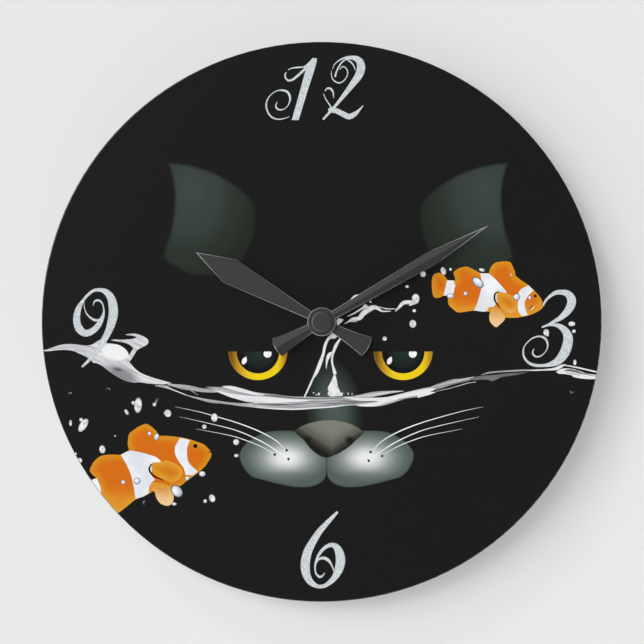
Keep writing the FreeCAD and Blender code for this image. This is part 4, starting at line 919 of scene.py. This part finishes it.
    splash = Print("ink_splash", splash_ink(), 6)
    splash.shape(
        [(6.4, -24.9), (7.3, -28.2), (8, -31.9), (9.4, -34.7)],
        [(10.4, -34.5), (10.1, -36.1)],
        [(4.3, -36.5), (2.9, -35.2), (3.4, -33.8), (2.9, -32.4), (4.3, -29.6), (5.7, -26.3)])
    splash.shape([(7.3, 0.8), (8.3, 1.7), (9.9, 1.3), (10.8, 1)], [(9.4, -0.4), (8, -1.6), (7.3, -0.9)])
    splash.drops(
        (-1.4, -35.2, 0.6, 0.7), (-3.9, -34.6, 0.35), (-2.6, -35.6, 0.3), (12.9, -35, 0.25, 0.6),
        (14.8, -35.2, 0.2, 0.5))
    splash.strokes(
        [(5.9, -6.7, 3.3), (3.4, -8.1, 1.4), (1.7, -11.4, 1.5), (0.8, -15.6, 1.4), (-0.8, -20.2, 1.9),
         (-2.5, -24.5, 1.7), (-4.3, -27.7, 1), (-6, -31.5, 0.9), (-8.3, -36.4, 0.75)],
        [(5.2, -14.6, 0.4), (3.8, -16, 1.9), (2.7, -18.4, 1.4), (2.3, -21.2, 0.6), (2.3, -22.8, 0.3)],
        [(9.2, -8.1, 0.8), (7.6, -10.4, 1.4), (6.4, -12.8, 1.6), (5.5, -15.6, 1.1), (5, -18.8, 1),
         (5.5, -21.7, 1.1), (6.4, -24.9, 1.8)],
        [(12.2, -0.4, 0.3), (15, 1.2, 1.6), (18.3, 1.7, 2.1), (20.2, 4, 2.6), (23, 6.1, 2.8),
         (25.8, 7.1, 2.1), (27.6, 6.4, 1.6), (29.5, 5.2, 0.9), (33.7, 5.2, 0.3)],
        [(12.7, 2.7, 0.3), (15.5, 4, 0.65), (18.3, 5.7, 0.85), (20.6, 7.1, 1.1)],
        [(28.1, 7.3, 0.3), (31.4, 6.4, 0.5), (36, 6.3, 0.3)],
        [(36, 5.2, 0.4), (37.9, 7.3, 1.4), (39.8, 9.2, 1.9), (42.6, 9.6, 1.9), (44.4, 9.6, 1.4)],
        [(43, 8.2, 0.9), (46.8, 9.2, 0.4)],
        [(11.3, -0.9, 0.3), (13.6, 0.1, 0.4), (16.9, 0.1, 0.3)],
        [(14.6, 11, 0.9), (16.4, 12.4, 1.4), (19.2, 13.1, 0.5)])


def drops():
    piece = Print("ink_drops", drop_ink(), 9)
    piece.drops(
        (-81.6, -40.3, 0.9), (-75, -44.6, 1.7, 1.9, 20), (-76.2, -44.4, 0.8), (-52.3, -46.7, 1.6, 2.1),
        (-57.2, -51.1, 1.1), (121.9, -1, 1.7, 1.2), (122.9, -4.6, 0.9), (109.4, -5.2, 1.4, 1.7),
        (110.1, -6.6, 0.6), (123.4, -19.8, 0.8, 1.4), (21.3, 7.3, 1.3), (45.8, 11.3, 1.9, 2.4),
        (23.8, 9.7, 0.5), (45.1, 5.4, 0.9, 0.8), (44.4, -1, 1.7, 2), (30.7, -8.2, 1.1),
        (49.4, 23.2, 1.4, 1.5), (41.6, 17.2, 0.9, 0.7), (-89.5, -40.7, 1.9, 3.8, -4), (-91.9, -39.5, 0.9),
        (-95.1, -44, 0.8, 1.5, 32), (-116.2, -50.4, 1.8, 3.7, -32), (-117.3, -47.7, 0.9),
        (-106.9, -62.2, 1.5, 2, 10), (-118, -67.6, 1.3), (-120, -64.4, 0.7), (-53.4, -86, 1.5, 2, 20),
        (-56.8, -87.4, 0.9), (-41.7, -58.6, 1.5), (-41.6, -65.2, 1.1, 0.8), (-122.4, -49.3, 0.7, 1.5),
        (-100.7, -55.6, 0.5, 0.3), (78.1, 25.3, 1.5, 0.8, -12), (59.3, 24.8, 1.3, 2, 20), (62.8, 25.6, 0.7))
    piece.strokes([(-80.7, -39.6, 0.4), (-79.6, -37.4, 0.2)], [(-81, -39, 0.3), (-80.5, -37.6, 0.3)])
    radius, width, sweep = 0.75, 0.3, 170  # the crescents
    for x, z, turn in ((-122.8, -35.2, 20), (-104.1, -33.0, 0), (122.0, -33.9, 180), (-86.3, -88.2, 95)):
        arc = np.radians(turn + np.linspace(0, sweep, 6))
        piece.ribbon([(x + radius * math.cos(a), z + radius * math.sin(a), width) for a in arc])


# ================================================================ fish
BAND_INK = plain_ink("band_ink", (243, 245, 248), (222, 226, 232), 90.0)
MARK_INK = plain_ink("mark_ink", (24, 20, 18), (14, 12, 12))
BUBBLE_INK = bubble_ink()


def fish(side, middle, body, fins):
    """The prints for a fish's body, bands, fins and marks; body and fins are (colour, height of the paler
    belly)."""
    body_ink = fish_ink(f"{side}_fish_ink", body[0], (214, 144, 34), (230, 166, 58), body[1])
    fin_ink = fish_ink(f"{side}_fin_ink", fins[0], (222, 156, 52), (240, 206, 156), fins[1], 0.85)
    name = f"ink_{side}_fish"
    return (Print(name, body_ink, 4, middle), Print(f"{name}_bands", BAND_INK, 5, middle),
            Print(f"{name}_fins", fin_ink, 6, middle), Print(f"{name}_marks", MARK_INK, 7))


def right_fish():
    body, bands, fins, marks = fish("right", (80.0, 14.0), ((213, 110, 26), -6.0), ((208, 124, 30), -11.0))
    body.shape(
        [(106.9, 8.4), (107.7, 8.8), (106.9, 11.3), (105, 13.8), (100.8, 17.8), (97.4, 20.1), (94.5, 22.4)],
        [(94.1, 24.7), (92.8, 27.7), (91.7, 29.2), (89, 29.5), (86.5, 29.2), (84.4, 28.7), (82.3, 26.4),
         (81.5, 23.7)],
        [(77.2, 23.7), (75.6, 24.7), (73, 26), (70.9, 26.9), (68.4, 26.6), (65.9, 25.6), (64.2, 23.7),
         (64.9, 21.8), (65.1, 20.1)],
        [(61.3, 20.3), (60.9, 21), (58.8, 23.3), (56.7, 23.9), (54.6, 22.9), (53.7, 20.5), (53.7, 16.8),
         (54.1, 13.4), (55, 11.8), (57.1, 11.7), (59.6, 12.8), (60.7, 13)],
        [(61.5, 11.3), (61.9, 8.4), (63.8, 6.3), (66.3, 4.6), (69.3, 4.8), (73.9, 5.4), (79.8, 5),
         (82.3, 4.8), (86.1, 2.9), (89.4, 2.1), (94.5, 2), (99.9, 2.9), (104.1, 4.4), (107.1, 6.3),
         (108.1, 7.5)], grid=0.8)
    bands.shape(
        [(61.1, 20.2), (64.4, 20.1)],
        [(65.1, 17.6), (64.6, 15.5), (64, 13.4), (62.5, 12.8)],
        [(59.4, 12.8), (60.2, 16.3)])
    bands.shape(
        [(77.2, 23.7), (81.5, 23.5)],
        [(84, 21.4), (86.9, 18.4), (89, 15.9), (90.1, 13.8), (86, 10), (84, 7.4)],
        [(81.5, 7.1), (79.8, 5), (74.3, 5.5)],
        [(75.6, 8.4), (77.2, 13.8), (78.3, 18.4)])
    bands.shape(
        [(100.8, 17.8), (103.3, 15.3)],
        [(100.8, 13), (99.1, 10), (99.1, 7.1), (100.4, 3.1)],
        [(97.4, 2.9), (95.7, 5.4), (95.7, 9.6), (96.4, 12.6), (95.9, 14.2), (97.4, 16.1)])
    bands.strokes([(102, 6, 0.3), (102.9, 6.8, 0.4), (103.7, 7.4, 0.3)])
    fins.shape(
        [(82.3, 5), (81.7, 2.9), (82.1, 0), (84.8, -2.6), (86.9, -1.3), (89.4, 1.8), (86.9, 5.4),
         (84, 7.1)], grid=0.8)
    fins.shape(
        [(86.1, 14.5), (85.2, 12.1), (85.7, 9.6), (88.2, 6.3), (90.7, 4.6), (93.6, 4.6), (95.3, 7.1),
         (94.9, 11.3), (90.3, 13.8)], grid=0.8)
    marks.strokes(
        [(86.3, 14.7, 0.4), (84.6, 13.8, 0.8), (84.2, 11.7, 0.9), (84.8, 9.6, 0.8), (86.9, 6.9, 0.4)])
    marks.drop(104.1, 12.6, 0.75)
    marks.strokes([(101.1, 6.2, 0.3), (102, 7.1, 0.4), (102.9, 7.7, 0.3)])
    Print("ink_bubbles_right", BUBBLE_INK, 9).drops(
        (76.1, 19.2, 3.4, 2, -42), (95, 12.1, 1.7), (70.1, 13.8, 1), (62.8, 12.6, 1.9, 1.2),
        (101.4, 11.7, 0.8, 1.1), (92.3, 22.9, 0.5))


def left_fish():
    body, bands, fins, marks = fish("left", (-82.0, -71.0), ((212, 110, 26), -13.0), ((210, 126, 32), -13.0))
    body.shape(
        [(-54.1, -66.2), (-53.7, -64.7), (-54.6, -62.6), (-57.3, -59.9), (-60.4, -58.6), (-64, -57.4),
         (-69, -56.3), (-75.3, -55.6), (-79.4, -55.6)],
        [(-80.3, -53.6), (-82.1, -51.8), (-83.9, -50.5), (-85.7, -49.7), (-88.9, -50.9), (-91.6, -52.7),
         (-93.8, -54.5), (-94.4, -57.2), (-94.5, -59.9), (-93.8, -62.6)],
        [(-98.3, -64.9), (-102.4, -64.7), (-107.4, -65.3), (-110.5, -67.6), (-112.3, -70.3), (-113, -72.6),
         (-111.4, -74.8), (-109.6, -76.2)],
        [(-107.8, -80.7), (-107.4, -83.8), (-105.1, -87), (-100.6, -92.4), (-98.8, -93)],
        [(-95.2, -90.2), (-90.7, -86.6), (-87, -85.2), (-84.3, -83.8), (-81.6, -82.5), (-75.3, -81.6),
         (-69.4, -80.2), (-66.3, -78), (-62.7, -75.3), (-59.5, -73), (-56.4, -69.9)], grid=0.9)
    bands.shape(
        [(-97.9, -64.9), (-93.8, -62.9), (-88.9, -63.5), (-84.3, -64.7), (-80.7, -66), (-78.2, -68.1)],
        [(-82.1, -70), (-83, -74.4), (-81.2, -77)],
        [(-82.5, -78), (-83.9, -80.2), (-84.3, -83.6)],
        [(-87, -85.2), (-90.7, -86.3)],
        [(-91.1, -83.4), (-92, -78.4), (-93.4, -73.5), (-95.2, -69.4)])
    bands.shape(
        [(-69, -56.5), (-64.3, -57.7)],
        [(-65.6, -61.3), (-65.6, -65.3), (-64.5, -69), (-60.4, -73)],
        [(-62.7, -74.8), (-66.3, -74.6)],
        [(-67.2, -71.2), (-69.9, -67.6), (-71.5, -64), (-71.5, -60.8)])
    bands.shape(
        [(-109.6, -76.2), (-107.8, -80.7), (-107.4, -83.8), (-105.1, -87), (-100.6, -92.4)],
        [(-103, -95), (-108, -89), (-114, -79), (-113, -77.5)])
    fins.shape(
        [(-81.4, -82.9), (-80.7, -85.6), (-78.5, -88.6), (-74.9, -89.7), (-72.6, -87.9), (-72.2, -84.7),
         (-73.5, -81.1), (-77.6, -78.9), (-82.1, -78.4), (-83.4, -80.7)], grid=0.9)
    fins.shape(
        [(-78.2, -68.3), (-82.1, -68.7), (-83, -70.8), (-82.1, -73.5), (-78.5, -76.2), (-73.1, -78.2),
         (-69.4, -76.6), (-67.6, -73.5), (-69.4, -70.3), (-75.3, -67.6)], grid=0.9)
    marks.strokes(
        [(-82.5, -69, 0.4), (-83.9, -70.8, 0.8), (-83.7, -73, 0.9), (-81.6, -75.3, 0.8),
         (-77.1, -77.3, 0.4)])
    marks.drop(-61.6, -60.5, 1)
    marks.strokes([(-55.5, -63.8, 0.3), (-54.9, -63.6, 0.3), (-54.3, -63.3, 0.3)])
    Print("ink_bubbles_left", BUBBLE_INK, 9).drops(
        (-83.9, -54.5, 1), (-80.5, -56.1, 1.2, 1.9, -20), (-90, -77.6, 1.7), (-96.7, -78.2, 1.1),
        (-70.6, -82.5, 2.5, 3.4, 40), (-65.5, -76.3, 1.1), (-71.9, -88.8, 1.3, 0.8),
        (-58.2, -74.1, 1.7, 1.4))


face()
eyes()
right_fish()
left_fish()
water()
numerals()
drops()
for piece in Print.pieces:
    piece.make()


# ================================================================ surroundings
def sheet(name, corners, paint):
    mesh = bpy.data.meshes.new(name)
    mesh.from_pydata(corners, [], [(0, 1, 2, 3)])
    mesh.materials.append(paint)
    piece = bpy.data.objects.new(name, mesh)
    bpy.context.scene.collection.objects.link(piece)
    return piece


def plaster(name):
    """Matt pale paint for the wall and the floor."""
    paint = Paint(name, Roughness=0.9, Specular_IOR_Level=0.1)
    paint.colour(paint.mix(paint.noise(6.0), (230, 230, 230), (232, 232, 232)))
    return paint


def one_sided(paint):
    """Seen only from its front, so that the clock's back can be looked at through the wall."""
    back = paint.add("NewGeometry", out="Backfacing")
    clear = paint.add("BsdfTransparent")
    shown = paint.add("MixShader", [(0, back), (1, paint.shader.outputs[0]), (2, clear)])
    paint.tree.links.new(shown, paint.tree.nodes["Material Output"].inputs["Surface"])
    return paint.material


# The room, in metres: half its width, the floor and the wall's top, and how far the floor reaches.
SIDE, FLOOR, TOP, FRONT, BACK = 3, -1.6, 2, -4, 2
WALL = 0.3 * MM  # the clock's back stands this far off the wall
wall = sheet("wall", [(-SIDE, WALL, FLOOR), (SIDE, WALL, FLOOR), (SIDE, WALL, TOP), (-SIDE, WALL, TOP)],
             one_sided(plaster("wall_plaster")))
wall.visible_shadow = False
sheet("floor", [(-SIDE, FRONT, FLOOR), (SIDE, FRONT, FLOOR), (SIDE, BACK, FLOOR), (-SIDE, BACK, FLOOR)],
      plaster("floor_paint").material)


def sun(name, bearing, tilt, level, spread, glossy=True, shadow=True):
    """A soft light that travels towards the wall, tilted off its normal towards a bearing (degrees, 0 is +X
    and 90 is +Z); a tilt over 90 shines from behind the wall. Level is its share of the light on a surface
    square to the wall, or of one square to itself when it comes from behind."""
    light = bpy.data.lights.new(name, "SUN")
    lamp = bpy.data.objects.new(name, light)
    b, t = math.radians(bearing), math.radians(tilt)
    towards = Vector((math.sin(t) * math.cos(b), math.cos(t), math.sin(t) * math.sin(b)))
    light.energy = math.pi * level / (towards.y if towards.y > 0 else 1)
    light.angle = math.radians(spread)
    lamp.rotation_euler = towards.to_track_quat("-Z", "Y").to_euler()
    lamp.visible_glossy = glossy
    light.use_shadow = shadow
    bpy.context.scene.collection.objects.link(lamp)


sun("front_fill", 0, 0, 0.42, 2, glossy=False, shadow=False)
sun("key", 330, 40, 0.17, 30)
sun("key_near", 328, 21, 0.15, 20)
sun("key_side", 0, 60, 0.09, 45)
sun("key_top", 300, 60, 0.05, 10)
sun("back_right", 180, 135, 0.6, 40)
sun("back_left", 20, 145, 0.4, 40)


AMBIENT, BACKDROP = 0.05, 0.74  # the world's strength as a light, and as it looks when it is seen directly


def studio():
    """A world that lights dimly and evenly, and is a pale backdrop to the camera."""
    world = bpy.data.worlds.new("studio")
    world.use_nodes = True
    tree = world.node_tree
    ambient, backdrop = tree.nodes["Background"], tree.nodes.new("ShaderNodeBackground")
    for node, strength in ((ambient, AMBIENT), (backdrop, BACKDROP)):
        node.inputs["Color"].default_value = (1, 1, 1, 1)
        node.inputs["Strength"].default_value = strength
    seen, mix = tree.nodes.new("ShaderNodeLightPath"), tree.nodes.new("ShaderNodeMixShader")
    tree.links.new(seen.outputs["Is Camera Ray"], mix.inputs[0])
    tree.links.new(ambient.outputs[0], mix.inputs[1])
    tree.links.new(backdrop.outputs[0], mix.inputs[2])
    tree.links.new(mix.outputs[0], tree.nodes["World Output"].inputs["Surface"])
    return world


bpy.context.scene.world = studio()

DISTANCE = 2.0  # from the dial to the camera, in metres
VIEW_WIDTH = 313.9 * MM  # how much of the dial's plane the picture takes in
SENSOR = 36.0  # in millimetres
camera = bpy.data.objects.new("camera", bpy.data.cameras.new("camera"))
camera.data.sensor_width = SENSOR
camera.data.lens = SENSOR * DISTANCE / VIEW_WIDTH
camera.data.clip_end = 50.0
camera.location = (0.15 * MM, -DISTANCE - FACE, -0.1 * MM)  # the picture's middle is a little off the axis
camera.rotation_euler = (math.pi / 2, 0, 0)
bpy.context.scene.collection.objects.link(camera)
bpy.context.scene.camera = camera
bpy.context.scene.view_settings.view_transform = "Standard"
